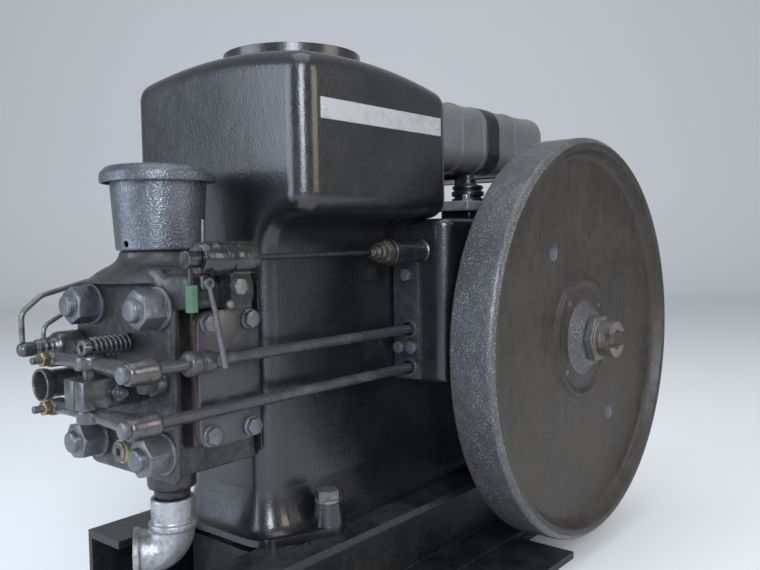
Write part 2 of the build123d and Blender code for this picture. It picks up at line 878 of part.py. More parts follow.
def air_filter_cap():
    """The wide shallow lid over the can, with a turned-down rim."""
    z0 = head_top_z + neck_height + can_height - cap_rim_depth
    return turned([(0, cap_rim_depth), (can_top_radius + cap_gap, cap_rim_depth),
                   (cap_radius - cap_wall, cap_rim_depth - 3), (cap_radius - cap_wall, 0), (cap_radius, 0),
                   (cap_radius, cap_rim_depth), (cap_radius - 8, cap_height - 2), (20, cap_height),
                   (0, cap_height)], Plane((intake_x, 0, z0)))


def exhaust_elbow():
    """The galvanised elbow under the exhaust stub, beaded at both mouths, open right through."""
    top_z = head_bottom_z - socket_height - socket_ring_height
    heading = math.radians(elbow_heading_deg)
    along = Vector(math.cos(heading), math.sin(heading), 0)
    corner_z = top_z - elbow_collar_length - elbow_bead_length - elbow_bend_radius
    start = Vector(exhaust_x, 0, top_z)
    corner = Vector(exhaust_x, 0, corner_z)
    end = corner + along * (elbow_bend_radius + elbow_outlet_length + elbow_bead_length)
    path = FilletPolyline(start, corner, end, radius=elbow_bend_radius)
    section = Plane(start, z_dir=(0, 0, -1))
    outer = sweep(section * Circle(elbow_outer_radius), path=path)
    bore = sweep(section * Circle(elbow_bore_radius), path=path)
    bead_top = top_z - elbow_collar_length
    outer += rod_z(bead_top - elbow_bead_length, bead_top, exhaust_x, 0, elbow_bead_radius)
    mouth = Plane(end - along * elbow_bead_length, z_dir=along)
    outer += extrude(mouth * Circle(elbow_bead_radius), elbow_bead_length)
    return outer - bore


# Rocker gear

def rocker_pedestal():
    """The split clamp on the head's face that grips the upright rocker pin."""
    y0 = rocker_pin_y - pedestal_half_width
    y1 = rocker_pin_y + pedestal_half_width
    z0 = lower_rocker_z + rocker_thickness / 2 + rocker_side_gap
    z1 = crank_z + pedestal_top_above
    x0 = rocker_pin_x - pedestal_front_depth
    clamp = block(x0, head_face_x, y0, y1, z0, z1)
    clamp -= rod_z(z0 - 1, z1 + 1, rocker_pin_x, rocker_pin_y, rocker_pin_radius)
    clamp -= block(x0 - 1, rocker_pin_x, rocker_pin_y - pedestal_slit / 2, rocker_pin_y + pedestal_slit / 2,
                   z0 - 1, z1 + 1)
    bolt_x = rocker_pin_x + pedestal_front_depth
    middle_z = (z0 + z1) / 2
    clamp += hex_y(y0 - pedestal_hex_height, y0, bolt_x, middle_z, pedestal_hex_across)
    clamp += rod_y(y0 - pedestal_hex_height - 6, y0 - pedestal_hex_height, bolt_x, middle_z,
                   pedestal_bolt_radius)
    clamp += hex_y(y1, y1 + pedestal_hex_height, bolt_x, middle_z, pedestal_hex_across)
    return clamp


def rocker_pin():
    """The upright pin through both rockers and the pedestal."""
    return rod_z(lower_rocker_z - rocker_thickness / 2 - 3, upper_rocker_z + rocker_thickness / 2 + 3,
                 rocker_pin_x, rocker_pin_y, rocker_pin_radius)


def rocker(z, lower):
    """One rocker: a flat arm from the pushrod eye over the pin to the adjuster boss."""
    z0 = z - rocker_thickness / 2
    z1 = z + rocker_thickness / 2
    eye = (rocker_near_x, rocker_near_y, rocker_near_radius)
    hub = (rocker_pin_x, rocker_pin_y, rocker_hub_radius)
    boss = (rocker_far_x, rocker_far_y, rocker_far_radius)
    arm = None
    for x, y, radius in (eye, hub, boss):
        disc = rod_z(z0, z1, x, y, radius)
        arm = disc if arm is None else arm + disc
    for (xa, ya, _), (xb, yb, _) in ((eye, hub), (hub, boss)):
        length = math.hypot(xb - xa, yb - ya)
        turn = math.degrees(math.atan2(yb - ya, xb - xa))
        bar = Pos((xa + xb) / 2, (ya + yb) / 2, z) * Rot(0, 0, turn)
        arm += bar * Box(length, 2 * rocker_arm_half_width, rocker_thickness)
    arm += Pos(rocker_near_x, rocker_near_y, z0 - ball_drop + ball_radius) * Sphere(ball_radius)
    if lower:
        middle_y = (rocker_near_y + rocker_pin_y) / 2
        arm += block(rocker_pin_x - rocker_arm_half_width - 3, rocker_pin_x - 2,
                     middle_y - rocker_web_half_length, middle_y + rocker_web_half_length,
                     z0 - rocker_web_depth, z)
    arm -= rod_z(z0 - rocker_web_depth - 1, z1 + 1, rocker_pin_x, rocker_pin_y,
                 rocker_pin_radius + rocker_pin_clearance)
    arm -= rod_x(rocker_far_x - 2 * rocker_far_radius, rocker_far_x + 2 * rocker_far_radius, rocker_far_y, z,
                 adjuster_radius)
    return arm


def adjuster(z):
    """A slotted adjusting screw through the rocker's far boss, with its brass locknut."""
    x0 = rocker_far_x - adjuster_front
    x1 = rocker_far_x + adjuster_back
    screw = rod_x(x0, x1, rocker_far_y, z, adjuster_radius)
    screw = fillet(screw.faces().sort_by(Axis.X)[-1].edges(), adjuster_radius / 2)
    nut_x1 = rocker_far_x - rocker_far_radius
    ring = hex_x(nut_x1 - locknut_height, nut_x1, rocker_far_y, z, locknut_across)
    screw = screw + ring
    return screw - block(x0 - 1, x0 + 2.5, rocker_far_y - adjuster_radius - 1,
                         rocker_far_y + adjuster_radius + 1, z - 0.8, z + 0.8)


def valve_tip_x():
    """Where a closed valve's stem ends, just clear of its adjusting screw."""
    return rocker_far_x + adjuster_back + valve_tip_gap


def valve(z):
    """A valve stem with its spring retainer, from the adjusting screw into its guide."""
    tip = valve_tip_x()
    stem = rod_x(tip, head_face_x + valve_stem_in_guide, rocker_far_y, z, valve_stem_radius)
    stem += rod_x(tip + retainer_setback, tip + retainer_setback + retainer_thickness, rocker_far_y, z,
                  retainer_radius)
    return stem


def coil(x0, x1, y, z, coil_radius, wire, turns):
    """A compression spring along X between two faces."""
    height = x1 - x0 - wire
    path = Helix(height / turns, height, coil_radius)
    start = Plane(path @ 0, z_dir=path % 0)
    spring = sweep(start * Circle(wire / 2), path=path, is_frenet=True)
    return Pos(x0 + wire / 2, y, z) * Rot(0, 90, 0) * spring


def valve_spring(z):
    """The spring between a valve's retainer and the head's face."""
    x0 = valve_tip_x() + retainer_setback + retainer_thickness
    return coil(x0 + spring_seat_gap, head_face_x - spring_seat_gap, rocker_far_y, z, spring_coil_radius,
                spring_wire, spring_turns)


def pushrod(z, with_collar):
    """A pushrod from the rocker's eye to its tappet bore. The upper one carries a collar and nuts."""
    x0 = rocker_near_x + rocker_near_radius + rod_rocker_gap
    x1 = crankcase_front_x + rod_tappet_depth
    bar = rod_x(x0, x1, rocker_near_y, z, rod_radius)
    bar += rod_x(x0, x0 + rod_end_length, rocker_near_y, z, rod_end_radius)
    bar += rod_x(x1 - rod_tappet_length, x1, rocker_near_y, z, tappet_bore_radius - rod_tappet_clearance)
    if with_collar:
        nut_x = rod_collar_x + rod_collar_length
        bar += rod_x(rod_collar_x, nut_x, rocker_near_y, z, rod_collar_radius)
        bar += hex_x(nut_x, nut_x + rod_nut_length, rocker_near_y, z, rod_nut_across)
        bar += rod_x(nut_x + rod_nut_length, nut_x + rod_nut_length + rod_small_nut_length, rocker_near_y, z,
                     rod_small_nut_radius)
    return bar


def tappet_plate():
    """The plate on the crankcase's front face with the two pushrod holes and its bolts."""
    x1 = crankcase_front_x
    x0 = x1 - tappet_plate_thickness
    plate = block(x0, x1, tappet_plate_near_y, tappet_plate_far_y, crank_z - tappet_plate_bottom_below,
                  crank_z + tappet_plate_top_above)
    for z in (upper_rocker_z, lower_rocker_z):
        plate += rod_x(x0 - tappet_ring_height, x0, rocker_near_y, z, tappet_ring_radius)
        plate -= rod_x(x0 - tappet_ring_height - 1, x1 + 1, rocker_near_y, z, tappet_bore_radius)
    middle_y = (tappet_plate_near_y + tappet_plate_far_y) / 2
    bolt_ys = (middle_y - tappet_bolt_across * 0.75, middle_y + tappet_bolt_across * 0.75)
    bolt_z = (upper_rocker_z + lower_rocker_z) / 2
    heads = [(y, bolt_z) for y in bolt_ys] + [(middle_y, crank_z + tappet_plate_top_above * 0.72)]
    for y, z in heads:
        plate += hex_x(x0 - tappet_bolt_height, x0, y, z, tappet_bolt_across)
    return plate


# Control gear

def control_bracket():
    """The bored bracket on the head's lobe that carries the control rod, and the lever's pivot."""
    post_x1 = bracket_rear_x - 8
    post_top = control_z
    bracket = rod_x(bracket_front_x, bracket_rear_x, control_y, control_z, bracket_radius)
    lobe_y = head_near_y - lobe_stand_out
    bracket += block(post_x1 - post_length, post_x1, lobe_y - post_width, lobe_y,
                     lobe_bottom_z, post_top)
    bracket += block(post_x1 - post_length, post_x1, lobe_y - post_width, lobe_y + post_width, lobe_top_z,
                     post_top)
    bracket += rod_x(bracket_front_x - bracket_collar_length, bracket_front_x, control_y, control_z,
                     bracket_collar_radius)
    bracket -= rod_x(bracket_front_x - bracket_collar_length - 1, bracket_rear_x + 1, control_y, control_z,
                     control_rod_radius + bracket_bore_clearance)
    lug_y = lever_far_y() + lever_gap
    bracket += block(lever_pivot_x - lever_eye_radius, lever_pivot_x + lever_eye_radius, lug_y,
                     lug_y + lever_lug_depth, lever_pivot_z() - lever_eye_radius,
                     control_z - bracket_radius + lever_lug_depth)
    bracket += rod_y(lug_y - lever_thickness - 2 * lever_gap, lug_y, lever_pivot_x, lever_pivot_z(),
                     lever_pin_radius)
    return bracket


def lever_far_y():
    """The far side of the release lever, under the middle of the control bracket."""
    return control_y - lever_gap


def lever_pivot_z():
    """The height of the release lever's pivot below the control bracket."""
    return control_z - bracket_radius - lever_eye_radius - lever_top_gap


def control_rod():
    """The thin rod from its round head in front of the bracket to the guide tube's mouth."""
    x0 = bracket_front_x - bracket_collar_length - control_head_gap - control_head_length
    x1 = guide_tube_front_x() + guide_tip_length
    bar = rod_x(x0 + control_head_length / 2, x1, control_y, control_z, control_rod_radius)
    bar += rod_x(x0, x0 + control_head_length, control_y, control_z, control_head_radius)
    stem_x = x0 + control_head_length / 2
    bar += rod_z(control_z - control_head_radius - grip_stem_length, control_z, stem_x, control_y,
                 grip_stem_radius)
    return bar


def control_grip():
    """The small plastic grip on the end of the control rod's stem."""
    x = bracket_front_x - bracket_collar_length - control_head_gap - control_head_length / 2
    top = control_z - control_head_radius - grip_stem_length
    grip = hex_z(top - grip_length, top, x, control_y, 2 * grip_radius)
    return grip


def guide_tube_front_x():
    """The front end of the guide tube's small tip."""
    return crankcase_front_x - guide_flange_height - guide_tube_length - guide_nut_length - guide_tip_length


def guide_tube():
    """The tube on the crankcase that the control rod runs into, with nut and tip."""
    x1 = crankcase_front_x
    flange_x = x1 - guide_flange_height
    tube_x = flange_x - guide_tube_length
    nut_x = tube_x - guide_nut_length
    tube = rod_x(flange_x, x1, control_y, control_z, guide_flange_radius)
    tube += rod_x(tube_x, flange_x, control_y, control_z, guide_tube_radius)
    tube += hex_x(nut_x, tube_x, control_y, control_z, guide_nut_across)
    tube += rod_x(guide_tube_front_x(), nut_x, control_y, control_z, guide_tip_radius)
    tube -= rod_x(guide_tube_front_x() - 1, nut_x + guide_tip_length, control_y, control_z,
                  control_rod_radius + bracket_bore_clearance)
    below = block(flange_x - guide_tube_length, x1 + 1, tappet_plate_near_y, tappet_plate_far_y,
                  crank_z - tappet_plate_bottom_below, crank_z + tappet_plate_top_above)
    return tube - below


def release_lever():
    """The thin strip that hangs from the bracket beside the upper pushrod's nut."""
    y1 = lever_far_y()
    y0 = y1 - lever_thickness
    reach = lever_lean
    top = lever_pivot_z()
    turn = math.degrees(math.atan2(reach, lever_drop))
    middle = Pos(lever_pivot_x + reach / 2, (y0 + y1) / 2, top - lever_drop / 2)
    strip = middle * Rot(0, -turn, 0) * Box(lever_width, lever_thickness, math.hypot(reach, lever_drop))
    strip += rod_y(y0, y1, lever_pivot_x, top, lever_eye_radius)
    return strip - rod_y(y0 - 1, y1 + 1, lever_pivot_x, top, lever_pin_radius + bracket_bore_clearance)


# Injector, chamber collar and plunger

def injector():
    """The injector body with its clamp flange, hexagon and pipe nut."""
    z = crank_z + injector_above
    x1 = head_face_x
    x2 = x1 - injector_flange_length
    x3 = x2 - injector_hex_length
    x4 = x3 - injector_nut_length
    body = rod_x(x2, x1, injector_y, z, injector_flange_radius)
    body = fillet(body.faces().sort_by(Axis.X)[0].edges(), 6)
    body += hex_x(x3, x2, injector_y, z, injector_hex_across)
    body += rod_x(x4, x3, injector_y, z, injector_nut_radius)
    return body


def bent_pipe(points, bends, radius):
    """A round pipe along straight runs with rounded corners."""
    path = FilletPolyline(*points, radius=list(bends))
    return sweep(Plane(path @ 0, z_dir=path % 0) * Circle(radius), path=path)


def injector_pipes():
    """The delivery pipe and the thinner return pipe, from the injector over to the head's far side."""
    z = crank_z + injector_above
    flange_x = head_face_x - injector_flange_length
    end_x, end_y, end_z = pipe_end()
    x = flange_x - injector_hex_length - injector_nut_length + injector_pipe_end
    start_z = z + injector_nut_radius + pipe_seat_gap
    crest_z = crank_z + pipe_crest_above
    delivery = bent_pipe([(x, injector_y, start_z), (x, injector_y, start_z + pipe_rise),
                          (x + pipe_shoulder_run, injector_y + 6,
                           start_z + pipe_rise + pipe_shoulder_rise),
                          (head_face_x + pipe_crest_setback, end_y - 3, crest_z - 4), (end_x, end_y, crest_z),
                          (end_x, end_y, end_z + pipe_seat_gap)], pipe_bends, pipe_radius)
    x = flange_x - injector_hex_length / 2
    start_z = z + injector_hex_across / 2 + pipe_seat_gap
    crest_z = crank_z + return_pipe_crest_above
    back_x = end_x + return_pipe_spacing
    returned = bent_pipe([(x, injector_y, start_z), (x, injector_y, start_z + return_pipe_rise),
                          (head_face_x + pipe_crest_setback, end_y, crest_z - 3), (back_x, end_y, crest_z),
                          (back_x, end_y, end_z + pipe_seat_gap)], return_pipe_bends, return_pipe_radius)
    return Compound(children=[delivery, returned])


def pipe_end():
    """The place of the delivery pipe's lower end beside the head."""
    return head_face_x + pipe_reach, head_far_y + pipe_stand_off, crank_z + head_shoulder_above


def pipe_fitting():
    """The two unions on the head's far side where the pipes end."""
    x, y, z = pipe_end()
    unions = []
    for middle_x in (x, x + return_pipe_spacing):
        union = rod_z(z - fitting_height, z, middle_x, y, injector_nut_radius)
        union += block(middle_x - fitting_arm_width / 2, middle_x + fitting_arm_width / 2, head_far_y, y,
                       z - fitting_height + 2, z - fitting_height + 2 + fitting_arm_width)
        unions.append(union)
    return Compound(children=unions)


def chamber_collar():
    """The short open collar of the combustion chamber on the head's face."""
    z = crank_z - chamber_below
    collar = rod_x(head_face_x - chamber_length, head_face_x, chamber_y + chamber_radius, z, chamber_radius)
    collar -= rod_x(head_face_x - chamber_length - 1, head_face_x - 6, chamber_y + chamber_radius, z,
                    chamber_bore_radius)
    return collar


def spring_plunger():
    """The plunger above the rocker pin, with the round head on its end."""
    z = crank_z + plunger_above
    x0 = head_face_x - plunger_length
    stem = rod_x(x0, head_face_x, plunger_y, z, plunger_stem_radius)
    return stem + rod_x(x0, x0 + plunger_ring_length, plunger_y, z, plunger_radius)


# Flywheel and crankshaft

def whole_flywheel():
    """The flywheel as cast: rim, recessed web, boss, hub cone and its round holes."""
    outer = flywheel_radius
    lip = outer - flywheel_lip_width
    crown = flywheel_crown
    front = 0.0
    recess = flywheel_web_recess
    web_back = recess + flywheel_web_thickness
    back = flywheel_width
    cone = recess - flywheel_boss_rise - collar_cone_height
    hub_back = flywheel_width + hub_reach()
    points = [(crank_radius, cone), (collar_cone_top, cone), (collar_cone_base, recess - flywheel_boss_rise),
              (flywheel_boss_radius - 6, recess - flywheel_boss_rise), (flywheel_boss_radius + 4, recess),
              (lip - 22, recess - 2), (lip, front + 8), (lip + 4, front), (outer - crown, front),
              (outer, front + crown), (outer, back - 2), (outer - 2, back), (lip - 4, back),
              (lip - 14, web_back), (flywheel_hub_radius + 12, web_back), (flywheel_hub_radius, web_back + 8),
              (flywheel_hub_radius, hub_back), (crank_radius, hub_back)]
    plane = Plane((0, flywheel_front_y, crank_z), x_dir=(1, 0, 0), z_dir=(0, 1, 0))
    wheel = turned(points, plane)
    for angle in (126, 306):
        turn = math.radians(angle)
        wheel -= rod_y(flywheel_front_y, flywheel_rear_y, balance_hole_circle * math.cos(turn),
                       crank_z + balance_hole_circle * math.sin(turn), balance_hole_radius)
    for angle in (40, 130, 220, 310):
        turn = math.radians(angle)
        x = boss_hole_circle * math.cos(turn)
        z = crank_z + boss_hole_circle * math.sin(turn)
        wheel -= rod_y(flywheel_front_y, web_front_y + 10, x, z, boss_hole_radius)
    return wheel


def flywheel_core():
    """A cylinder that holds all of the flywheel inside its rim."""
    return rod_y(flywheel_front_y - 1, crankcase_near_y, 0, crank_z, flywheel_radius - flywheel_rim_thickness)


def hub_reach():
    """How far the hub runs past the rim's rear face, towards the bearing housing."""
    return -(crankcase_half_width + housing_thickness) - flywheel_hub_rear_gap - flywheel_rear_y


def crankshaft():
    """The crankshaft's end, from its bearing through the flywheel's hub."""
    y0 = flywheel_front_y + flywheel_web_recess - flywheel_boss_rise - collar_cone_height
    return rod_y(y0, crankcase_near_y + crank_bore_depth - 2, 0, crank_z, crank_radius)


def starting_nut():
    """The hub nut and the starting dog in one, with two claws round an open mouth."""
    y1 = flywheel_front_y + flywheel_web_recess - flywheel_boss_rise - collar_cone_height
    y0 = y1 - hub_nut_length
    nut = hex_y(y0, y1, 0, crank_z, hub_nut_across)
    dog = rod_y(y0 - dog_length, y0, 0, crank_z, dog_radius)
    dog -= rod_y(y0 - dog_length - 1, y0 - 4, 0, crank_z, dog_bore_radius)
    dog -= block(-dog_radius - 1, dog_radius + 1, y0 - dog_length - 1, y0 - dog_length + dog_slot_depth,
                 crank_z - dog_slot_width / 2, crank_z + dog_slot_width / 2)
    return nut + dog


# Fuel tank and breather

def tank_outline(grow):
    """The tank's rounded outline seen along X, larger all round by the growth."""
    middle_z = tank_bottom_z + tank_height / 2
    return Pos(0, middle_z) * RectangleRounded(2 * (tank_half_width + grow), tank_height + 2 * grow,
                                               tank_corner + grow)


def fuel_tank():
    """The tank's sheet shell with its raised beads, closed by the end plates."""
    x0 = tank_front_x + tank_end_thickness
    x1 = tank_rear_x - tank_end_thickness
    shell = along_x(tank_outline(0) - tank_outline(-tank_wall), x0, x1)
    for setback in tank_bead_setbacks:
        middle = tank_front_x + setback
        shell += along_x(tank_outline(tank_bead_rise) - tank_outline(-tank_wall),
                            middle - tank_bead_width / 2, middle + tank_bead_width / 2)
    return shell


def fuel_tank_ends():
    """The two end plates of the tank."""
    ends = [along_x(tank_outline(0), tank_front_x, tank_front_x + tank_end_thickness),
            along_x(tank_outline(0), tank_rear_x - tank_end_thickness, tank_rear_x)]
    return Compound(children=ends)


def tank_cap():
    """The round filler cap on top of the tank."""
    top = tank_bottom_z + tank_height
    cap = rod_z(top, top + tank_cap_height, tank_cap_x, 0, tank_cap_radius)
    return fillet(cap.faces().sort_by(Axis.Z)[-1].edges(), 3)


def tank_strap():
    """The steel strap over the tank, down to its cradle."""
    x0 = strap_middle_x - strap_width / 2
    x1 = strap_middle_x + strap_width / 2
    band = along_x(tank_outline(strap_gap + strap_thickness) - tank_outline(strap_gap), x0, x1)
    return band


def tank_cradle():
    """The folded steel saddle on the crankcase that carries the tank."""
    x0 = strap_middle_x - strap_width / 2 - 6
    x1 = strap_middle_x + strap_width / 2 + 6
    top = tank_bottom_z - strap_gap - strap_thickness
    saddle = block(x0, x1, -cradle_half_width, cradle_half_width, crankcase_top_z, top)
    saddle -= block(x0 - 1, x1 + 1, -cradle_half_width + cradle_wall, cradle_half_width - cradle_wall,
                    crankcase_top_z + cradle_wall, top - cradle_wall)
    return saddle


def breather():
    """The crankcase breather: a pale flange plate, a cup and stacked discs under the tank."""
    z0 = crankcase_top_z
    half_x = breather_plate_length / 2
    half_y = breather_plate_width / 2
    pad = block(breather_x - half_x * 0.7, breather_x + half_x * 0.7, breather_y - half_y * 0.8,
                breather_y + half_y * 0.8, z0, z0 + breather_pad_height)
    z1 = z0 + breather_pad_height
    plate = block(breather_x - half_x, breather_x + half_x, breather_y - half_y, breather_y + half_y, z1,
                  z1 + breather_plate_height)
    z2 = z1 + breather_plate_height
    cup = rod_z(z2, z2 + breather_cup_height, breather_x, breather_y, breather_cup_radius)
    z3 = z2 + breather_cup_height
    stem = rod_z(z3, z2 + breather_height, breather_x, breather_y, breather_stem_radius)
    body = pad + plate + cup + stem
    for step in range(2):
        disc_z = z3 + 3 + step * (breather_disc_height + 3)
        body += rod_z(disc_z, disc_z + breather_disc_height, breather_x, breather_y, breather_disc_radius)
    return body


# Every piece by name

nodes = {
    "skid_plate": skid_plate(),
    "near_rail": rail(-1),
    "far_rail": rail(1),
    "rail_ties": rail_ties(),
    "foot_bolts": foot_bolts(),
    "engine_block": engine_block(),
    "engine_feet": engine_feet(),
    "bearing_housings": bearing_housings(),
    "housing_bolts": housing_bolts(),
    "crankcase_door": crankcase_door(),
    "name_plate": name_plate(),
    "cylinder_head": cylinder_head(),
    "gaskets": gaskets(),
    "jacket_cover": jacket_cover(),
    "head_nuts": head_nuts(),
    "head_plugs": head_plugs(),
    "air_filter_can": air_filter_can(),
    "air_filter_cap": air_filter_cap(),
    "exhaust_elbow": exhaust_elbow(),
    "rocker_pedestal": rocker_pedestal(),
    "rocker_pin": rocker_pin(),
    "upper_rocker": rocker(upper_rocker_z, False),
    "lower_rocker": rocker(lower_rocker_z, True),
    "upper_adjuster": adjuster(upper_rocker_z),
    "lower_adjuster": adjuster(lower_rocker_z),
    "upper_valve": valve(upper_rocker_z),
    "lower_valve": valve(lower_rocker_z),
    "upper_spring": valve_spring(upper_rocker_z),
    "lower_spring": valve_spring(lower_rocker_z),
    "upper_pushrod": pushrod(upper_rocker_z, True),
    "lower_pushrod": pushrod(lower_rocker_z, False),
    "tappet_plate": tappet_plate(),
    "control_bracket": control_bracket(),
    "control_rod": control_rod(),
    "control_grip": control_grip(),
    "guide_tube": guide_tube(),
    "release_lever": release_lever(),
    "injector": injector(),
    "injector_pipe": injector_pipes(),
    "pipe_fitting": pipe_fitting(),
    "chamber_collar": chamber_collar(),
    "spring_plunger": spring_plunger(),
    "flywheel": whole_flywheel() & flywheel_core(),
    "flywheel_rim": whole_flywheel() - flywheel_core(),
    "crankshaft": crankshaft(),
    "starting_nut": starting_nut(),
    "fuel_tank": fuel_tank(),
    "fuel_tank_ends": fuel_tank_ends(),
    "tank_cap": tank_cap(),
    "tank_strap": tank_strap(),
    "tank_cradle": tank_cradle(),
    "breather": breather(),
}

os.makedirs("parts", exist_ok=True)
for name, shape in nodes.items():
    export_step(shape, f"parts/{name}.step")
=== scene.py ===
"""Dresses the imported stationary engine: finishes, fittings, studio light and the camera."""

import json
import logging
import math
from collections.abc import Callable, Iterator, Sequence
from contextlib import contextmanager
from dataclasses import dataclass
from enum import Enum

import bpy
from mathutils import Euler, Matrix, Vector

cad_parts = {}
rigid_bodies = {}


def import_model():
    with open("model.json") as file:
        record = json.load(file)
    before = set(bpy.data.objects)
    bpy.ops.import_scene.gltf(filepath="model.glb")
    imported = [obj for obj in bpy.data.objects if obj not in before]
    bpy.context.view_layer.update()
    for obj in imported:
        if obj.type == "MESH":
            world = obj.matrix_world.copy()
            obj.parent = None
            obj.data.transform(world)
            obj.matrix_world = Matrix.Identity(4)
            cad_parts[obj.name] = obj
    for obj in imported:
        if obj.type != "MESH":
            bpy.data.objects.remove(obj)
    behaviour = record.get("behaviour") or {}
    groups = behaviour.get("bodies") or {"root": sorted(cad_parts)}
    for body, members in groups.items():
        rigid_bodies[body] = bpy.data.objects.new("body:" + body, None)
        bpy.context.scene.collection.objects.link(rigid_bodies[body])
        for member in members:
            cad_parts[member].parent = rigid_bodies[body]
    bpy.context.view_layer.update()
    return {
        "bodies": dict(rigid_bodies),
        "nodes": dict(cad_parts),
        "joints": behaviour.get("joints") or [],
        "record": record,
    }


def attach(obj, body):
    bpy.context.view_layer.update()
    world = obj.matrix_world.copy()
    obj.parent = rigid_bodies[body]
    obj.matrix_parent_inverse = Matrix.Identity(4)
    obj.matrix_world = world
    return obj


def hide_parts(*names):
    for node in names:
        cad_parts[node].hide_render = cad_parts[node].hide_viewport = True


LOG = logging.getLogger("engine")
MM = 0.001
MERGE_DISTANCE = 0.000002
SHARP_DEG = 28
COIL_STEPS = 28
EASE_SHARE = 0.48
CHAMFER_SHARE = 0.55
ORIGIN = (0, 0, 0)
Color = tuple[float, float, float]
Point = tuple[float, float, float]
Profile = list[tuple[float, float]]
Corners = Sequence[tuple[float, float, float]]
Piece = bpy.types.Object
Socket = bpy.types.NodeSocket
Sockets = dict[str, Socket]
Results = tuple[Socket, ...]


# Shader graphs


def rgba(color: Color) -> tuple[float, float, float, float]:
    """Adds the alpha of a solid colour."""
    return (*color, 1.0)


class Graph:
    """Adds nodes to one node tree and links them."""

    def __init__(self, tree: bpy.types.NodeTree) -> None:
        """Starts with the tree's own nodes removed."""
        self.tree = tree
        self.tree.nodes.clear()

    def feed(self, target: Socket, value: object) -> None:
        """Links a socket to the target, or sets the target's own value.

        Args:
            target: The input socket.
            value: An output socket or a plain value.
        """
        if isinstance(value, Socket):
            self.tree.links.new(value, target)
        else:
            target.default_value = value

    def node(self, kind: str, feeds: dict[str | int, object], **settings: object) -> bpy.types.Node:
        """Adds a node.

        Args:
            kind: The node's type name.
            feeds: What each of its inputs gets.
            settings: Properties of the node.

        Returns:
            The new node.
        """
        made = self.tree.nodes.new(kind)
        for name, value in settings.items():
            setattr(made, name, value)
        for name, value in feeds.items():
            self.feed(made.inputs[name], value)
        return made

    def math(self, operation: str, first: object, second: object, clamp: bool = False) -> Socket:
        """Adds a Math node and returns its result."""
        made = self.node("ShaderNodeMath", {0: first, 1: second}, operation=operation, use_clamp=clamp)
        return made.outputs[0]

    def blend(self, *parts: tuple[object, float]) -> Socket:
        """Adds up values, each times its share.

        Args:
            parts: Each value with its share.

        Returns:
            The sum.
        """
        total, *others = (self.math("MULTIPLY", value, share) for value, share in parts)
        for other in others:
            total = self.math("ADD", total, other)
        return total

    def mask(self, amount: object, *values: object) -> Socket:
        """Multiplies values with each other and with an amount, within 0 to 1.

        Args:
            amount: The effect's strength.
            values: The values.

        Returns:
            The clamped product.
        """
        product, *others = values
        for other in others:
            product = self.math("MULTIPLY", product, other)
        return self.math("MULTIPLY", product, amount, True)

    def noise(self, vector: object, scale: object, detail: float, roughness: float,
              distortion: float = 0) -> Socket:
        """Adds a Noise texture and returns its factor.

        Args:
            vector: Where to look the noise up.
            scale: Its scale.
            detail: How many finer layers it has.
            roughness: How strong those layers are.
            distortion: How far they are warped.

        Returns:
            The factor.
        """
        feeds = {"Vector": vector, "Scale": scale, "Detail": detail, "Roughness": roughness,
                 "Distortion": distortion}
        return self.node("ShaderNodeTexNoise", feeds).outputs["Fac"]

    def cells(self, vector: object, scale: object, feature: str) -> Socket:
        """Adds a Voronoi texture and returns its distance."""
        return self.node("ShaderNodeTexVoronoi", {"Vector": vector, "Scale": scale},
                         feature=feature).outputs["Distance"]

    def span(self, value: object, low: object, high: object, start: object = 0, end: object = 1) -> Socket:
        """Maps a value from one range to another, smoothly and within the range."""
        feeds = {"Value": value, "From Min": low, "From Max": high, "To Min": start, "To Max": end}
        return self.node("ShaderNodeMapRange", feeds, interpolation_type="SMOOTHSTEP").outputs["Result"]

    def mix(self, factor: object, first: object, second: object) -> Socket:
        """Mixes two colours by a factor and returns the colour."""
        return self.node("ShaderNodeMix", {0: factor, 6: first, 7: second}, data_type="RGBA").outputs[2]

    def stretch(self, vector: object, scale: Point) -> Socket:
        """Scales a coordinate along its three axes."""
        return self.node("ShaderNodeMapping", {"Vector": vector, "Scale": scale}).outputs["Vector"]


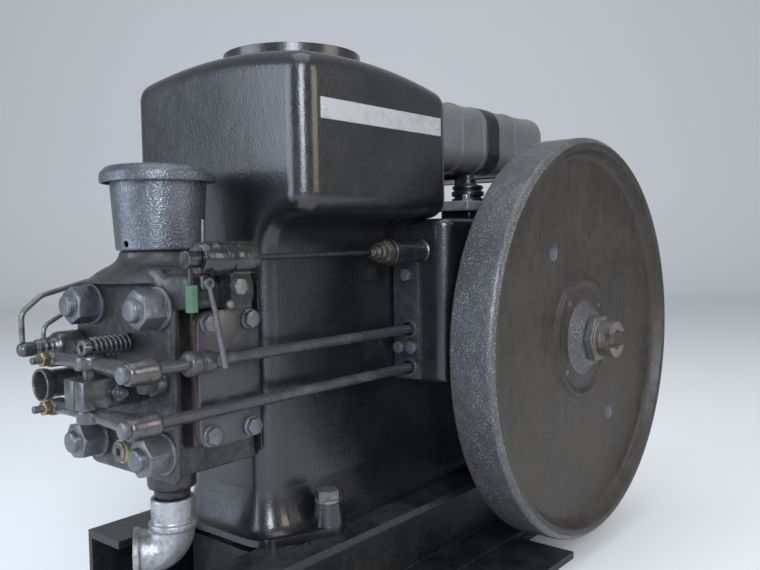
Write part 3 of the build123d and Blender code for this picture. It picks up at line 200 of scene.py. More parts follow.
class Effects:
    """Builds the node groups that several finishes share."""

    def __init__(self) -> None:
        """Makes every group once."""
        self.grime = self._group("Grime Patches", self._grime, ("Scale", "Amount"), ("Mask", "Height"))
        self.dust = self._group("Settled Dust", self._dust, ("Amount",), ("Mask",))
        self.rust = self._group("Rust Bloom", self._rust, ("Scale", "Amount"), ("Mask", "Color", "Height"))
        self.scuffs = self._group("Scuff Lines", self._scuffs, ("Amount",), ("Mask",))
        self.cast_skin = self._group("Cast Skin", self._cast_skin, ("Grain", "Waves"), ("Height",))
        self.hammered = self._group("Hammered Skin", self._hammered, ("Scale",), ("Height",))
        self.worn_edge = self._group("Worn Edge", self._worn_edge, ("Amount",), ("Mask", "Normal"))
        self.runs = self._group("Upright Runs", self._runs, ("Amount",), ("Mask",))
        # The speckle group paints pale dots that are partly flecks of the skin and partly painted glints of
        # light.
        self.speckle_and_glints = self._group("Fine Speckle And Painted Glints", self._speckle_and_glints, ("Amount",), ("Mask",))

    @staticmethod
    def _group(name: str, recipe: Callable[[Graph, Sockets], Results], inputs: tuple[str, ...],
               outputs: tuple[str, ...]) -> bpy.types.NodeTree:
        """Wraps a recipe in a node group.

        Args:
            name: The group's name.
            recipe: Adds the nodes, given the graph and the inputs, and returns what the outputs get.
            inputs: The inputs beside Vector.
            outputs: The outputs.

        Returns:
            The group's node tree.
        """
        tree = bpy.data.node_groups.new(name, "ShaderNodeTree")
        graph = Graph(tree)
        kinds = {"Vector": "NodeSocketVector", "Normal": "NodeSocketVector", "Color": "NodeSocketColor"}
        for side, labels in (("INPUT", ("Vector", *inputs)), ("OUTPUT", outputs)):
            for label in labels:
                tree.interface.new_socket(name=label, in_out=side,
                                          socket_type=kinds.get(label, "NodeSocketFloat"))
        source = graph.node("NodeGroupInput", {})
        results = recipe(graph, {label: source.outputs[label] for label in ("Vector", *inputs)})
        graph.node("NodeGroupOutput", dict(zip(outputs, results)))
        return tree

    @staticmethod
    def _patches(graph: Graph, values: Socket, start: float, share: float, amount: Socket,
                 edges: tuple[float, float]) -> Socket:
        """Gives the patches where a noise is above an edge that falls with the amount.

        Args:
            graph: The group's graph.
            values: The noise.
            start: The edge at no amount.
            share: How far the edge falls at full amount.
            amount: The effect's strength.
            edges: How far the patch fades below and above the edge.

        Returns:
            The mask.
        """
        edge = graph.math("SUBTRACT", start, graph.math("MULTIPLY", amount, share))
        return graph.span(values, graph.math("SUBTRACT", edge, edges[0]), graph.math("ADD", edge, edges[1]))

    def _grime(self, graph: Graph, source: Sockets) -> Results:
        """Uneven patches of oil and dirt.

        Args:
            graph: The group's graph.
            source: The group's inputs by name.

        Returns:
            Its outputs, in the order of their names.
        """
        vector, scale = source["Vector"], source["Scale"]
        mixed = graph.blend((graph.noise(vector, scale, 6, 0.6, 0.4), 0.7),
                            (graph.noise(vector, graph.math("MULTIPLY", scale, 7), 3, 0.6), 0.3))
        return self._patches(graph, mixed, 0.85, 0.6, source["Amount"], (0.12, 0.12)), mixed

    def _dust(self, graph: Graph, source: Sockets) -> Results:
        """Dust that lies on faces that look up.

        Args:
            graph: The group's graph.
            source: The group's inputs by name.

        Returns:
            Its outputs, in the order of their names.
        """
        geometry = graph.node("ShaderNodeNewGeometry", {})
        split = graph.node("ShaderNodeSeparateXYZ", {0: geometry.outputs["Normal"]})
        upward = graph.span(split.outputs["Z"], 0.25, 0.95)
        patches = graph.span(graph.noise(source["Vector"], 26, 6, 0.65), 0.3, 0.7)
        specks = graph.span(graph.noise(source["Vector"], 420, 2, 0.5), 0.42, 0.62)
        return (graph.mask(source["Amount"], upward, graph.blend((patches, 0.7), (specks, 0.3))),)

    def _rust(self, graph: Graph, source: Sockets) -> Results:
        """Spots and blooms of rust with their colour.

        Args:
            graph: The group's graph.
            source: The group's inputs by name.

        Returns:
            Its outputs, in the order of their names.
        """
        vector, scale = source["Vector"], source["Scale"]
        broad = graph.noise(vector, scale, 8, 0.7, 0.3)
        grain = graph.noise(vector, graph.math("MULTIPLY", scale, 9), 2, 0.6)
        mask = self._patches(graph, broad, 0.8, 0.5, source["Amount"], (0.05, 0.06))
        color = graph.mix(grain, rgba((0.050, 0.022, 0.010)), rgba((0.26, 0.115, 0.045)))
        return mask, color, graph.math("MULTIPLY", grain, mask)

    @staticmethod
    def _scuffs(graph: Graph, source: Sockets) -> Results:
        """Thin scratches in two directions, broken into short runs.

        Args:
            graph: The group's graph.
            source: The group's inputs by name.

        Returns:
            Its outputs, in the order of their names.
        """
        vector = source["Vector"]
        upright = graph.noise(graph.stretch(vector, (90, 90, 5)), 5, 2, 0.5, 0.8)
        level = graph.noise(graph.stretch(vector, (6, 6, 120)), 4, 2, 0.5, 0.8)
        breaks = graph.span(graph.noise(vector, 18, 3, 0.6), 0.45, 0.6)
        lines = graph.math("MAXIMUM", graph.span(upright, 0.68, 0.74), graph.span(level, 0.70, 0.76))
        return (graph.mask(source["Amount"], lines, breaks),)

    @staticmethod
    def _cast_skin(graph: Graph, source: Sockets) -> Results:
        """The wavy, lightly grained skin of painted cast iron.

        Args:
            graph: The group's graph.
            source: The group's inputs by name.

        Returns:
            Its outputs, in the order of their names.
        """
        vector = source["Vector"]
        waves = graph.noise(vector, source["Waves"], 3, 0.5, 0.2)
        grain = graph.noise(vector, source["Grain"], 3, 0.6)
        pits = graph.span(graph.cells(vector, graph.math("MULTIPLY", source["Grain"], 0.35), "F1"), 0, 0.22)
        return (graph.blend((waves, 2.2), (grain, 0.22), (pits, 0.08)),)

    @staticmethod
    def _hammered(graph: Graph, source: Sockets) -> Results:
        """The dimpled skin of hammer paint or of rough rolled iron.

        Args:
            graph: The group's graph.
            source: The group's inputs by name.

        Returns:
            Its outputs, in the order of their names.
        """
        inputs = {"Vector": source["Vector"], "Scale": source["Scale"]}
        bent = graph.node("ShaderNodeTexNoise", inputs).outputs["Color"]
        shift = graph.node("ShaderNodeVectorMath", {0: bent, 1: (0.004, 0.004, 0.004), 2: source["Vector"]},
                           operation="MULTIPLY_ADD")
        return (graph.cells(shift.outputs["Vector"], source["Scale"], "SMOOTH_F1"),)

    @staticmethod
    def _runs(graph: Graph, source: Sockets) -> Results:
        """Upright streaks and fine mottling, as on iron that has stood in the weather.

        Args:
            graph: The group's graph.
            source: The group's inputs by name.

        Returns:
            Its outputs, in the order of their names.
        """
        vector = source["Vector"]
        streaks = graph.span(graph.noise(graph.stretch(vector, (42, 42, 3.4)), 1, 5, 0.6, 0.3), 0.42, 0.68)
        mottle = graph.span(graph.noise(graph.stretch(vector, (250, 250, 85)), 1, 2, 0.5), 0.47, 0.60)
        return (graph.mask(source["Amount"], graph.blend((streaks, 0.4), (mottle, 0.6))),)

    @staticmethod
    def _speckle_and_glints(graph: Graph, source: Sockets) -> Results:
        """Fine pale dots on the high grains of a rough skin: partly pale flecks of the skin and partly
        painted glints, where the grains would catch the light.

        Args:
            graph: The group's graph.
            source: The group's inputs by name.

        Returns:
            Its outputs, in the order of their names.
        """
        dots = graph.span(graph.noise(source["Vector"], 620, 2, 0.5), 0.56, 0.66)
        patches = graph.span(graph.noise(source["Vector"], 28, 4, 0.6), 0.30, 0.70)
        cover = graph.math("ADD", graph.math("MULTIPLY", patches, 0.7), 0.3)
        return (graph.mask(source["Amount"], dots, cover),)

    @staticmethod
    def _worn_edge(graph: Graph, source: Sockets) -> Results:
        """Rubbed edges, where the rounded normal leaves the true one.

        Args:
            graph: The group's graph.
            source: The group's inputs by name.

        Returns:
            Its outputs, in the order of their names.
        """
        rounded = graph.node("ShaderNodeBevel", {"Radius": 1.5 * MM}, samples=4).outputs["Normal"]
        true = graph.node("ShaderNodeNewGeometry", {}).outputs["Normal"]
        meet = graph.node("ShaderNodeVectorMath", {0: rounded, 1: true}, operation="DOT_PRODUCT")
        edge = graph.span(meet.outputs["Value"], 0.99, 0.86)
        breaks = graph.span(graph.noise(source["Vector"], 140, 4, 0.65), 0.38, 0.62)
        return graph.mask(source["Amount"], edge, breaks), rounded


# Finishes


@dataclass(frozen=True)
class Finish:
    """One surface finish: a base with grime, dust, rust, worn edges and its own relief."""

    name: str
    base: Color
    second: Color
    roughness: float
    rough_spread: float = 0.12
    metallic: float = 0
    coat: float = 0
    coat_roughness: float = 0.2
    relief: str = "cast"
    relief_scale: float = 260
    relief_height: float = 0.0006
    waves: float = 18
    grime_scale: float = 14
    grime: float = 0.5
    dust: float = 0.3
    dust_color: Color = (0.20, 0.19, 0.17)
    rust: float = 0
    rust_scale: float = 60
    wear: float = 0.3
    wear_color: Color = (0.30, 0.30, 0.31)
    scuffs: float = 0.2
    runs: float = 0
    peel: float = 0
    speckle_and_glints: float = 0
    speckle_and_glint_color: Color = (0.2, 0.2, 0.2)

    def build(self, effects: Effects) -> bpy.types.Material:
        """Makes the material.

        Args:
            effects: The shared node groups.

        Returns:
            The finished material.
        """
        material = bpy.data.materials.new(self.name)
        material.use_nodes = True
        graph = Graph(material.node_tree)
        vector = graph.node("ShaderNodeTexCoord", {}).outputs["Object"]

        def use(tree: bpy.types.NodeTree, **values: float) -> bpy.types.NodeOutputs:
            """Adds one shared group and sets its inputs."""
            return graph.node("ShaderNodeGroup", {"Vector": vector, **values}, node_tree=tree).outputs

        grime = use(effects.grime, Scale=self.grime_scale, Amount=self.grime)
        color = graph.mix(grime["Mask"], rgba(self.base), rgba(self.second))
        if self.runs > 0:
            color = graph.mix(use(effects.runs, Amount=self.runs)["Mask"], color, rgba(self.second))
        # Pale speckle dots: partly flecks of the skin, partly painted glints of light on the grain.
        if self.speckle_and_glints > 0:
            dots = use(effects.speckle_and_glints, Amount=self.speckle_and_glints)
            color = graph.mix(dots["Mask"], color, rgba(self.speckle_and_glint_color))
        scuffs = use(effects.scuffs, Amount=self.scuffs)
        wear = use(effects.worn_edge, Amount=self.wear)
        rust = use(effects.rust, Scale=self.rust_scale, Amount=self.rust)
        dust = use(effects.dust, Amount=self.dust)
        color = graph.mix(graph.math("MAXIMUM", scuffs["Mask"], wear["Mask"]), color, rgba(self.wear_color))
        color = graph.mix(rust["Mask"], color, rust["Color"])
        color = graph.mix(dust["Mask"], color, rgba(self.dust_color))

        dull = graph.math("MAXIMUM", dust["Mask"], rust["Mask"])
        rough = graph.span(grime["Height"], 0.3, 0.7, self.roughness - self.rough_spread,
                           self.roughness + self.rough_spread)
        if self.relief == "cast":
            relief = use(effects.cast_skin, Grain=self.relief_scale, Waves=self.waves)
        else:
            relief = use(effects.hammered, Scale=self.relief_scale)
        height = graph.math("ADD", relief["Height"], rust["Height"])
        if self.peel > 0:
            skin = graph.math("MULTIPLY", graph.noise(vector, 380, 1, 0.4), self.peel)
            height = graph.math("ADD", height, skin)
        bump = graph.node("ShaderNodeBump", {"Strength": 1, "Distance": self.relief_height, "Height": height,
                                             "Normal": wear["Normal"]})
        feeds = {"Base Color": color, "Coat Roughness": self.coat_roughness, "Normal": bump.outputs["Normal"],
                 "Roughness": graph.math("ADD", rough, graph.math("MULTIPLY", dull, 0.4), True)}
        for label, level in (("Metallic", self.metallic), ("Coat Weight", self.coat)):
            if level > 0:
                feeds[label] = graph.math("SUBTRACT", level, graph.math("MULTIPLY", dull, level), True)
        shader = graph.node("ShaderNodeBsdfPrincipled", feeds)
        graph.node("ShaderNodeOutputMaterial", {"Surface": shader.outputs["BSDF"]})
        return material


FINISHES: dict[str, Finish] = {
    "skid_steel": Finish("Skid black", (0.007, 0.007, 0.008), (0.017, 0.0165, 0.016), 0.4, dust=0.18,
        relief_height=0.0004, wear=0.25, rust=0.2, dust_color=(0.16, 0.16, 0.15)),
    "block_paint": Finish("Block gloss black", (0.0072, 0.0074, 0.0088), (0.0125, 0.0125, 0.014), 0.3,
        rough_spread=0.06, coat=0.5, coat_roughness=0.17, dust=0.07, wear=0.05, peel=0.4, scuffs=0.08,
        relief_height=0.0008, waves=14, grime_scale=9, dust_color=(0.11, 0.11, 0.11)),
    "head_metal": Finish("Head oily iron", (0.05, 0.05, 0.053), (0.018, 0.017, 0.017), 0.36, metallic=0.35,
        relief_height=0.001, dust=0.25, wear=0.2, rust=0.15, grime=0.55, grime_scale=22, waves=30,
        wear_color=(0.16, 0.16, 0.165), peel=0.2, dust_color=(0.17, 0.155, 0.13)),
    "cover_metal": Finish("Cover black", (0.022, 0.022, 0.026), (0.045, 0.045, 0.05), 0.3, coat=0.3,
        wear=0.35, dust=0.2, grime_scale=30),
    "gasket_copper": Finish("Copper", (0.24, 0.115, 0.05), (0.09, 0.05, 0.03), 0.35, metallic=0.7,
        wear=0.2),
    "steel_parts": Finish("Oily steel", (0.105, 0.105, 0.11), (0.04, 0.038, 0.037), 0.26, metallic=0.7,
        relief_height=0.00025, waves=60, grime_scale=40, grime=0.45, wear=0.35, wear_color=(0.36, 0.37,
        0.38), rust=0.06, dust=0.15),
    "bolt_steel": Finish("Bolt steel", (0.21, 0.207, 0.203), (0.08, 0.07, 0.062), 0.38, metallic=0.7,
        relief_height=0.0003, waves=60, grime_scale=40, rust=0.2, wear=0.5),
    "rod_steel": Finish("Rod grey", (0.06, 0.062, 0.068), (0.13, 0.128, 0.125), 0.32, metallic=0.45,
        relief_height=0.0003, waves=40, grime_scale=30, grime=0.4, dust=0.2),
    "filter_sheet": Finish("Hammer silver", (0.125, 0.133, 0.152), (0.075, 0.079, 0.09), 0.25,
        metallic=0.65, relief="hammered", relief_scale=480, dust=0.12, wear=0.15, dust_color=(0.18, 0.18,
        0.18)),
    "elbow_zinc": Finish("Mottled zinc", (0.36, 0.37, 0.39), (0.15, 0.145, 0.14), 0.42, metallic=0.6,
        relief_height=0.0008, waves=60, grime_scale=34, grime=0.55, rust=0.15),
    "plate_alu": Finish("Scuffed plate", (0.46, 0.48, 0.5), (0.34, 0.35, 0.37), 0.42, metallic=0.45,
        relief_height=0.0002, grime_scale=40, scuffs=0.5),
    "control_metal": Finish("Worn casting", (0.016, 0.016, 0.018), (0.052, 0.048, 0.046), 0.22,
        metallic=0.2, coat=0.5, coat_roughness=0.12, waves=60, rust=0.08, rust_scale=70, wear=0.6,
        dust=0.06, grime=0.35, grime_scale=60),
    "grip_plastic": Finish("Green grip", (0.055, 0.125, 0.075), (0.04, 0.095, 0.058), 0.42,
        relief_height=0.0002, wear=0.15, wear_color=(0.16, 0.25, 0.19), dust=0.05),
    # The speckle on the wheel's web and rim is partly pale flecks and partly painted glints of light on the
    # grain.
    "wheel_iron": Finish("Wheel web iron", (0.0095, 0.0082, 0.0072), (0.033, 0.0265, 0.0205), 0.46,
        rough_spread=0.08, relief_height=0.001, peel=0.25, waves=24, relief_scale=420, grime=0.55,
        grime_scale=9, dust=0.14, rust=0.08, rust_scale=140, wear=0.15, wear_color=(0.14, 0.13, 0.12),
        runs=0.9, speckle_and_glints=0.35, speckle_and_glint_color=(0.085, 0.08, 0.076)),
    "wheel_rim": Finish("Wheel rim iron", (0.072, 0.072, 0.076), (0.046, 0.045, 0.046), 0.36, metallic=0.2,
        relief_scale=620, relief_height=0.0009, waves=60, grime_scale=12, dust=0.15, rust=0.08,
        rust_scale=150, wear=0.5, wear_color=(0.34, 0.34, 0.34), speckle_and_glints=0.85, speckle_and_glint_color=(0.33, 0.335,
        0.345)),
    "shaft_steel": Finish("Rusty steel", (0.17, 0.165, 0.155), (0.085, 0.072, 0.062), 0.42, metallic=0.55,
        relief_height=0.0005, waves=60, grime_scale=40, rust=0.4, rust_scale=48, wear=0.5),
    "tank_sheet": Finish("Tank grey", (0.15, 0.154, 0.16), (0.105, 0.105, 0.11), 0.36, metallic=0.25,
        relief_height=0.0004, waves=10, scuffs=0.25, grime_scale=10, wear_color=(0.24, 0.24, 0.25)),
    "strap_steel": Finish("Strap black", (0.006, 0.006, 0.007), (0.014, 0.013, 0.013), 0.36, wear=0.2,
        dust=0.1, relief_height=0.0003, grime_scale=40),
    "breather_pale": Finish("Pale grey", (0.24, 0.25, 0.28), (0.13, 0.13, 0.14), 0.4, metallic=0.3,
        grime_scale=40),
    "nut_grey": Finish("Nut grey", (0.125, 0.13, 0.142), (0.05, 0.05, 0.052), 0.34, metallic=0.5,
        relief_height=0.0002, waves=60, grime_scale=70, grime=0.45, wear=0.4, wear_color=(0.42, 0.43, 0.45),
        rust=0.08, dust=0.2),
    "yellow_smear": Finish("Yellow smear", (0.5, 0.4, 0.09), (0.05, 0.045, 0.04), 0.4, grime=0.55,
        grime_scale=70, relief_height=0.0003, dust=0.1),
    "cover_rim": Finish("Worn rim", (0.16, 0.168, 0.185), (0.07, 0.062, 0.055), 0.38, metallic=0.45,
        relief_height=0.0003, grime_scale=40, rust=0.25, wear=0.4),
    "locknut_brass": Finish("Old brass", (0.33, 0.25, 0.13), (0.12, 0.09, 0.055), 0.3, metallic=0.85,
        relief_height=0.0002, grime_scale=90, wear=0.5, wear_color=(0.62, 0.52, 0.34)),
    "locknut_dull": Finish("Dull nut", (0.1, 0.085, 0.07), (0.04, 0.036, 0.033), 0.34, metallic=0.6,
        relief_height=0.0002, grime_scale=60, wear=0.35, wear_color=(0.34, 0.31, 0.27)),
    "bright_zinc": Finish("Bright zinc", (0.62, 0.63, 0.65), (0.4, 0.4, 0.41), 0.28, metallic=0.8,
        relief_height=0.0002, grime_scale=80, grime=0.3),
}


# Modelling steps


class Facing(Enum):
    """The way a piece made along +Z is laid in the engine."""

    FRONT = (0, -90, 0)
    REAR = (0, 90, 0)
    NEAR = (90, 0, 0)
    FAR = (-90, 0, 0)
    UP = (0, 0, 0)

    def turn(self) -> Matrix:
        """Gives the rotation that lays the piece."""
        return Euler([math.radians(angle) for angle in self.value]).to_matrix().to_4x4()


def eased(corners: Corners, steps: int = 4) -> Profile:
    """Rounds the corners of a turned profile.

    Args:
        corners: Radius, height and rounding of each corner, in millimetres.
        steps: How many short runs each rounding has.

    Returns:
        Radius and height of each point.
    """
    points: Profile = []
    for index, (radius, height, ease) in enumerate(corners):
        here = Vector((radius, height))
        if ease <= 0 or index in (0, len(corners) - 1):
            points.append((radius, height))
            continue
        before = Vector(corners[index - 1][:2]) - here
        after = Vector(corners[index + 1][:2]) - here
        start = here + before.normalized() * min(ease, before.length * EASE_SHARE)
        end = here + after.normalized() * min(ease, after.length * EASE_SHARE)
        for step in range(steps + 1):
            part = step / steps
            spot = (1 - part) ** 2 * start + 2 * (1 - part) * part * here + part ** 2 * end
            points.append((spot.x, spot.y))
    return points


def ridges(radius: float, start: float, end: float, pitch: float, rise: float, depth: float,
           ease: float) -> list[tuple[float, float, float]]:
    """Gives the corners of a threaded length, with a last crest after it.

    Args:
        radius: The crests' radius, in millimetres.
        start: Where the first crest is.
        end: No ridge starts from here on.
        pitch: From one crest to the next.
        rise: From a crest to the root after it.
        depth: How far the roots are sunk.
        ease: The corners' rounding.

    Returns:
        Radius, height and rounding of each corner.
    """
    corners = []
    while start < end:
        corners += [(radius, start, ease), (radius - depth, start + rise, ease)]
        start += pitch
    return [*corners, (radius, start, ease)]


def settle() -> None:
    """Moves the selected piece's place, turn and size into its mesh."""
    bpy.ops.object.transform_apply(location=True, rotation=True, scale=True)


class Bench:
    """The modelling steps that the sub-assemblies share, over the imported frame."""

    def __init__(self, frame: dict, materials: dict[str, bpy.types.Material]) -> None:
        """Keeps the frame's nodes with their bodies and slots.

        Args:
            materials: The built finishes by name.
        """
        record = frame["record"]
        self.nodes = frame["nodes"]
        self.materials = materials
        self.slots = {part["node"]: part["material_slot"] for part in record["subparts"]}
        self.bodies = {node: body for body, names in record["behaviour"]["bodies"].items() for node in names}

    @staticmethod
    def choose(*pieces: Piece) -> None:
        """Selects only these pieces, the last one active.

        Args:
            pieces: The pieces.
        """
        bpy.ops.object.select_all(action="DESELECT")
        for piece in pieces:
            piece.select_set(True)
            bpy.context.view_layer.objects.active = piece

    @contextmanager
    def editing(self, piece: Piece, kind: str = "VERT") -> Iterator[None]:
        """Opens a piece in edit mode, all selected, and closes it after.

        Args:
            piece: The piece.
            kind: The kind of element to select by.

        Yields:
            Nothing.
        """
        self.choose(piece)
        bpy.ops.object.mode_set(mode="EDIT")
        bpy.ops.mesh.select_mode(type=kind)
        bpy.ops.mesh.select_all(action="SELECT")
        yield
        bpy.ops.object.mode_set(mode="OBJECT")

    @staticmethod
    def pick(elements: Sequence, test: Callable[[object], bool]) -> None:
        """Selects the faces or edges that pass a test, while their piece is in edit mode.

        Args:
            elements: All faces or all edges of the piece's mesh.
            test: Takes one of them.
        """
        bpy.ops.mesh.select_all(action="DESELECT")
        bpy.ops.object.mode_set(mode="OBJECT")
        for element in elements:
            element.select = bool(test(element))
        bpy.ops.object.mode_set(mode="EDIT")

    def paint(self, piece: Piece, finish: str, test: Callable[[Vector, Vector], bool]) -> None:
        """Gives a further finish to the faces that pass a test.

        Args:
            piece: The piece, which has its main finish already.
            finish: The further finish.
            test: Takes a face's centre in millimetres and its normal.
        """
        piece.data.materials.append(self.materials[finish])
        with self.editing(piece, "FACE"):
            self.pick(piece.data.polygons, lambda face: test(face.center / MM, face.normal))
            piece.active_material_index = len(piece.data.materials) - 1
            bpy.ops.object.material_slot_assign()

    def modify(self, piece: Piece, kind: str, **settings: object) -> None:
        """Adds a modifier to a piece and applies it.

        Args:
            piece: The piece.
            kind: The modifier's type name.
            settings: Properties of the modifier.
        """
        self.choose(piece)
        bpy.ops.object.modifier_add(type=kind)
        modifier = piece.modifiers[-1]
        for name, value in settings.items():
            setattr(modifier, name, value)
        bpy.ops.object.modifier_apply(modifier=modifier.name)

    @staticmethod
    def added(name: str) -> Piece:
        """Names the piece that was just added and settles it.

        Args:
            name: The piece's name.

        Returns:
            The piece.
        """
        settle()
        piece = bpy.context.object
        piece.name = name
        return piece

    def lathe(self, name: str, profile: Profile, segments: int = 48, ring: bool = False) -> Piece:
        """Turns a profile around +Z.

        Args:
            name: The piece's name.
            profile: Radius and height of each ring, in millimetres.
            segments: How many steps go round.
            ring: Whether the last ring joins the first, as on a piece with a bore.

        Returns:
            The closed piece.
        """
        radius, height = profile[0]
        bpy.ops.mesh.primitive_circle_add(vertices=segments, radius=radius * MM, fill_type="NOTHING",
                                          location=(0, 0, height * MM))
        piece = self.added(name)
        with self.editing(piece):
            for next_radius, next_height in profile[1:]:
                bpy.ops.mesh.extrude_region_move(
                    TRANSFORM_OT_translate={"value": (0, 0, (next_height - height) * MM)})
                ratio = next_radius / radius
                bpy.ops.transform.resize(value=(ratio, ratio, 1), center_override=ORIGIN)
                radius, height = next_radius, next_height
            bpy.ops.mesh.select_all(action="DESELECT")
            bpy.ops.mesh.select_non_manifold()
            if ring:
                bpy.ops.mesh.bridge_edge_loops()
            else:
                bpy.ops.mesh.fill_holes(sides=0)
            bpy.ops.mesh.select_all(action="SELECT")
            bpy.ops.mesh.normals_make_consistent(inside=False)
        return self.smooth(piece)

    def turned(self, name: str, corners: Corners, origin: Point = ORIGIN, facing: Facing = Facing.UP,
               segments: int = 48, ring: bool = False, steps: int = 4) -> Piece:
        """Turns a profile with eased corners and lays it in its place.

        Args:
            name: The piece's name.
            corners: Radius, height and rounding of each corner, in millimetres.
            origin: Where its own origin goes.
            facing: The way its +Z points.
            segments: How many steps go round.
            ring: Whether the last ring joins the first.
            steps: How many short runs each rounding has.

        Returns:
            The piece in its place.
        """
        return self.place(self.lathe(name, eased(corners, steps), segments, ring), origin, facing)

    def block(self, name: str, low: Point, high: Point) -> Piece:
        """Adds a block between two corners in millimetres, ready for shaping.

        Args:
            name: The piece's name.
            low: The corner with the lower values.
            high: The corner with the higher values.

        Returns:
            The block.
        """
        bpy.ops.mesh.primitive_cube_add(size=1, location=[(a + b) / 2 * MM for a, b in zip(low, high)])
        bpy.context.object.scale = [(b - a) * MM for a, b in zip(low, high)]
        return self.added(name)

    def hexagon(self, name: str, across: float, height: float, origin: Point = ORIGIN,
                facing: Facing = Facing.UP, spin: float = 0) -> Piece:
        """Makes a hexagon with its top corners turned off and its edges eased.

        Args:
            name: The piece's name.
            across: Width over the flats, in millimetres.
            height: Height, in millimetres.
            origin: Where its foot goes.
            facing: The way its top points.
            spin: Its turn about its own axis, in degrees.

        Returns:
            The piece in its place.
        """
        corner = across / math.sqrt(3)
        bpy.ops.mesh.primitive_cylinder_add(vertices=6, radius=corner * MM, depth=height * MM,
                                            location=(0, 0, height / 2 * MM))
        piece = self.added(name)
        fall = (corner - across / 2) * CHAMFER_SHARE
        self.meet(piece, self.lathe("turning", [(corner * 1.05, -1), (corner * 1.02, height - fall),
                                                (across / 2 * 0.985, height + 0.01)]), "INTERSECT")
        return self.place(self.soften(piece, min(0.6, across * 0.03)), origin, facing, spin)

    def meet(self, piece: Piece, tool: Piece, operation: str = "DIFFERENCE") -> None:
        """Cuts or trims a piece with a tool, which is used up."""
        self.modify(piece, "BOOLEAN", operation=operation, object=tool)
        bpy.data.objects.remove(tool)

    def pierce(self, piece: Piece, radius: float, low: float, high: float, origin: Point = ORIGIN,
               facing: Facing = Facing.UP, segments: int = 48) -> None:
        """Bores a round hole through a piece.

        Args:
            piece: The piece.
            radius: The hole's radius, in millimetres.
            low: Where the hole starts along its axis.
            high: Where it ends.
            origin: Where its axis starts from.
            facing: The way its axis points.
            segments: How many steps go round.
        """
        bore = self.lathe("bore", [(radius, low), (radius, high)], segments)
        self.meet(piece, self.place(bore, origin, facing))

    def bar(self, name: str, start: Point, end: Point, first: float, last: float) -> Piece:
        """Makes a round tapered bar with rounded ends between two places.

        Args:
            name: The piece's name.
            start: The middle of its first end, in millimetres.
            end: The middle of its last end, in millimetres.
            first: Its radius at the start.
            last: Its radius at the end.

        Returns:
            The bar in its place.
        """
        run = Vector(end) - Vector(start)
        ease = min(first, last) * 0.5
        piece = self.lathe(name, eased([(first * 0.3, 0, 0), (first, 0, ease), (last, run.length, ease),
                                        (last * 0.3, run.length, 0)]), 32)
        return self._lay(piece, start, run.to_track_quat("Z", "Y").to_matrix().to_4x4())

    def coil(self, name: str, radius: float, wire: float, length: float, turns: float) -> Piece:
        """Makes a coil spring along +Z.

        Args:
            name: The piece's name.
            radius: From the axis to the middle of the wire, in millimetres.
            wire: The wire's diameter.
            length: From the first to the last wire's middle.
            turns: How many turns it has.

        Returns:
            The spring, its first wire on the origin's level.
        """
        bpy.ops.mesh.primitive_circle_add(vertices=12, radius=wire / 2 * MM, fill_type="NGON",
                                          location=(radius * MM, 0, 0), rotation=(math.pi / 2, 0, 0))
        piece = self.added(name)
        steps = int(COIL_STEPS * turns)
        self.modify(piece, "SCREW", axis="Z", angle=2 * math.pi * turns, screw_offset=length * MM,
                    steps=steps, render_steps=steps)
        with self.editing(piece):
            bpy.ops.mesh.remove_doubles(threshold=MERGE_DISTANCE)
            bpy.ops.mesh.normals_make_consistent(inside=False)
        return self.smooth(piece, 50)

    def soften(self, piece: Piece, width: float, segments: int = 2) -> Piece:
        """Rounds the piece's sharp edges by a width in millimetres.

        Args:
            piece: The piece.
            width: The width.
            segments: How many steps the rounding has.

        Returns:
            The same piece.
        """
        self.modify(piece, "BEVEL", width=width * MM, segments=segments, limit_method="ANGLE",
                    angle_limit=math.radians(SHARP_DEG))
        return self.smooth(piece)

    def round_block(self, piece: Piece, axis: int, radius: float, segments: int) -> Piece:
        """Rounds the edges of a block that run along one axis.

        Args:
            piece: The block.
            axis: Which axis, 0 to 2.
            radius: The corners' radius, in millimetres.
            segments: How many steps a corner has.

        Returns:
            The same piece.
        """
        def runs_along(edge: bpy.types.MeshEdge) -> bool:
            """Tells whether an edge runs along the axis."""
            first, last = (piece.data.vertices[index].co[axis] for index in edge.vertices)
            return abs(first - last) > MM

        with self.editing(piece, "EDGE"):
            self.pick(piece.data.edges, runs_along)
            bpy.ops.mesh.bevel(offset=radius * MM, segments=segments, affect="EDGES")
        return piece

    def smooth(self, piece: Piece, angle: float = 32) -> Piece:
        """Shades a piece smooth up to an angle in degrees.

        Args:
            piece: The piece.
            angle: The angle.

        Returns:
            The same piece.
        """
        self.choose(piece)
        bpy.ops.object.shade_smooth_by_angle(angle=math.radians(angle))
        return piece

    def _lay(self, piece: Piece, origin: Point, turn: Matrix) -> Piece:
        """Moves and turns a piece, and settles it.

        Args:
            piece: The piece.
            origin: Where its own origin goes, in millimetres.
            turn: How it is turned.

        Returns:
            The same piece.
        """
        self.choose(piece)
        piece.matrix_world = Matrix.Translation(Vector(origin) * MM) @ turn
        settle()
        return piece

    def place(self, piece: Piece, origin: Point, facing: Facing = Facing.UP, spin: float = 0) -> Piece:
        """Lays a piece made along +Z where it belongs, with its place in its mesh.

        Args:
            piece: The piece.
            origin: Where its own origin goes, in millimetres.
            facing: The way its +Z points.
            spin: Its turn about its own axis, in degrees.

        Returns:
            The same piece.
        """
        return self._lay(piece, origin, facing.turn() @ Matrix.Rotation(math.radians(spin), 4, "Z"))

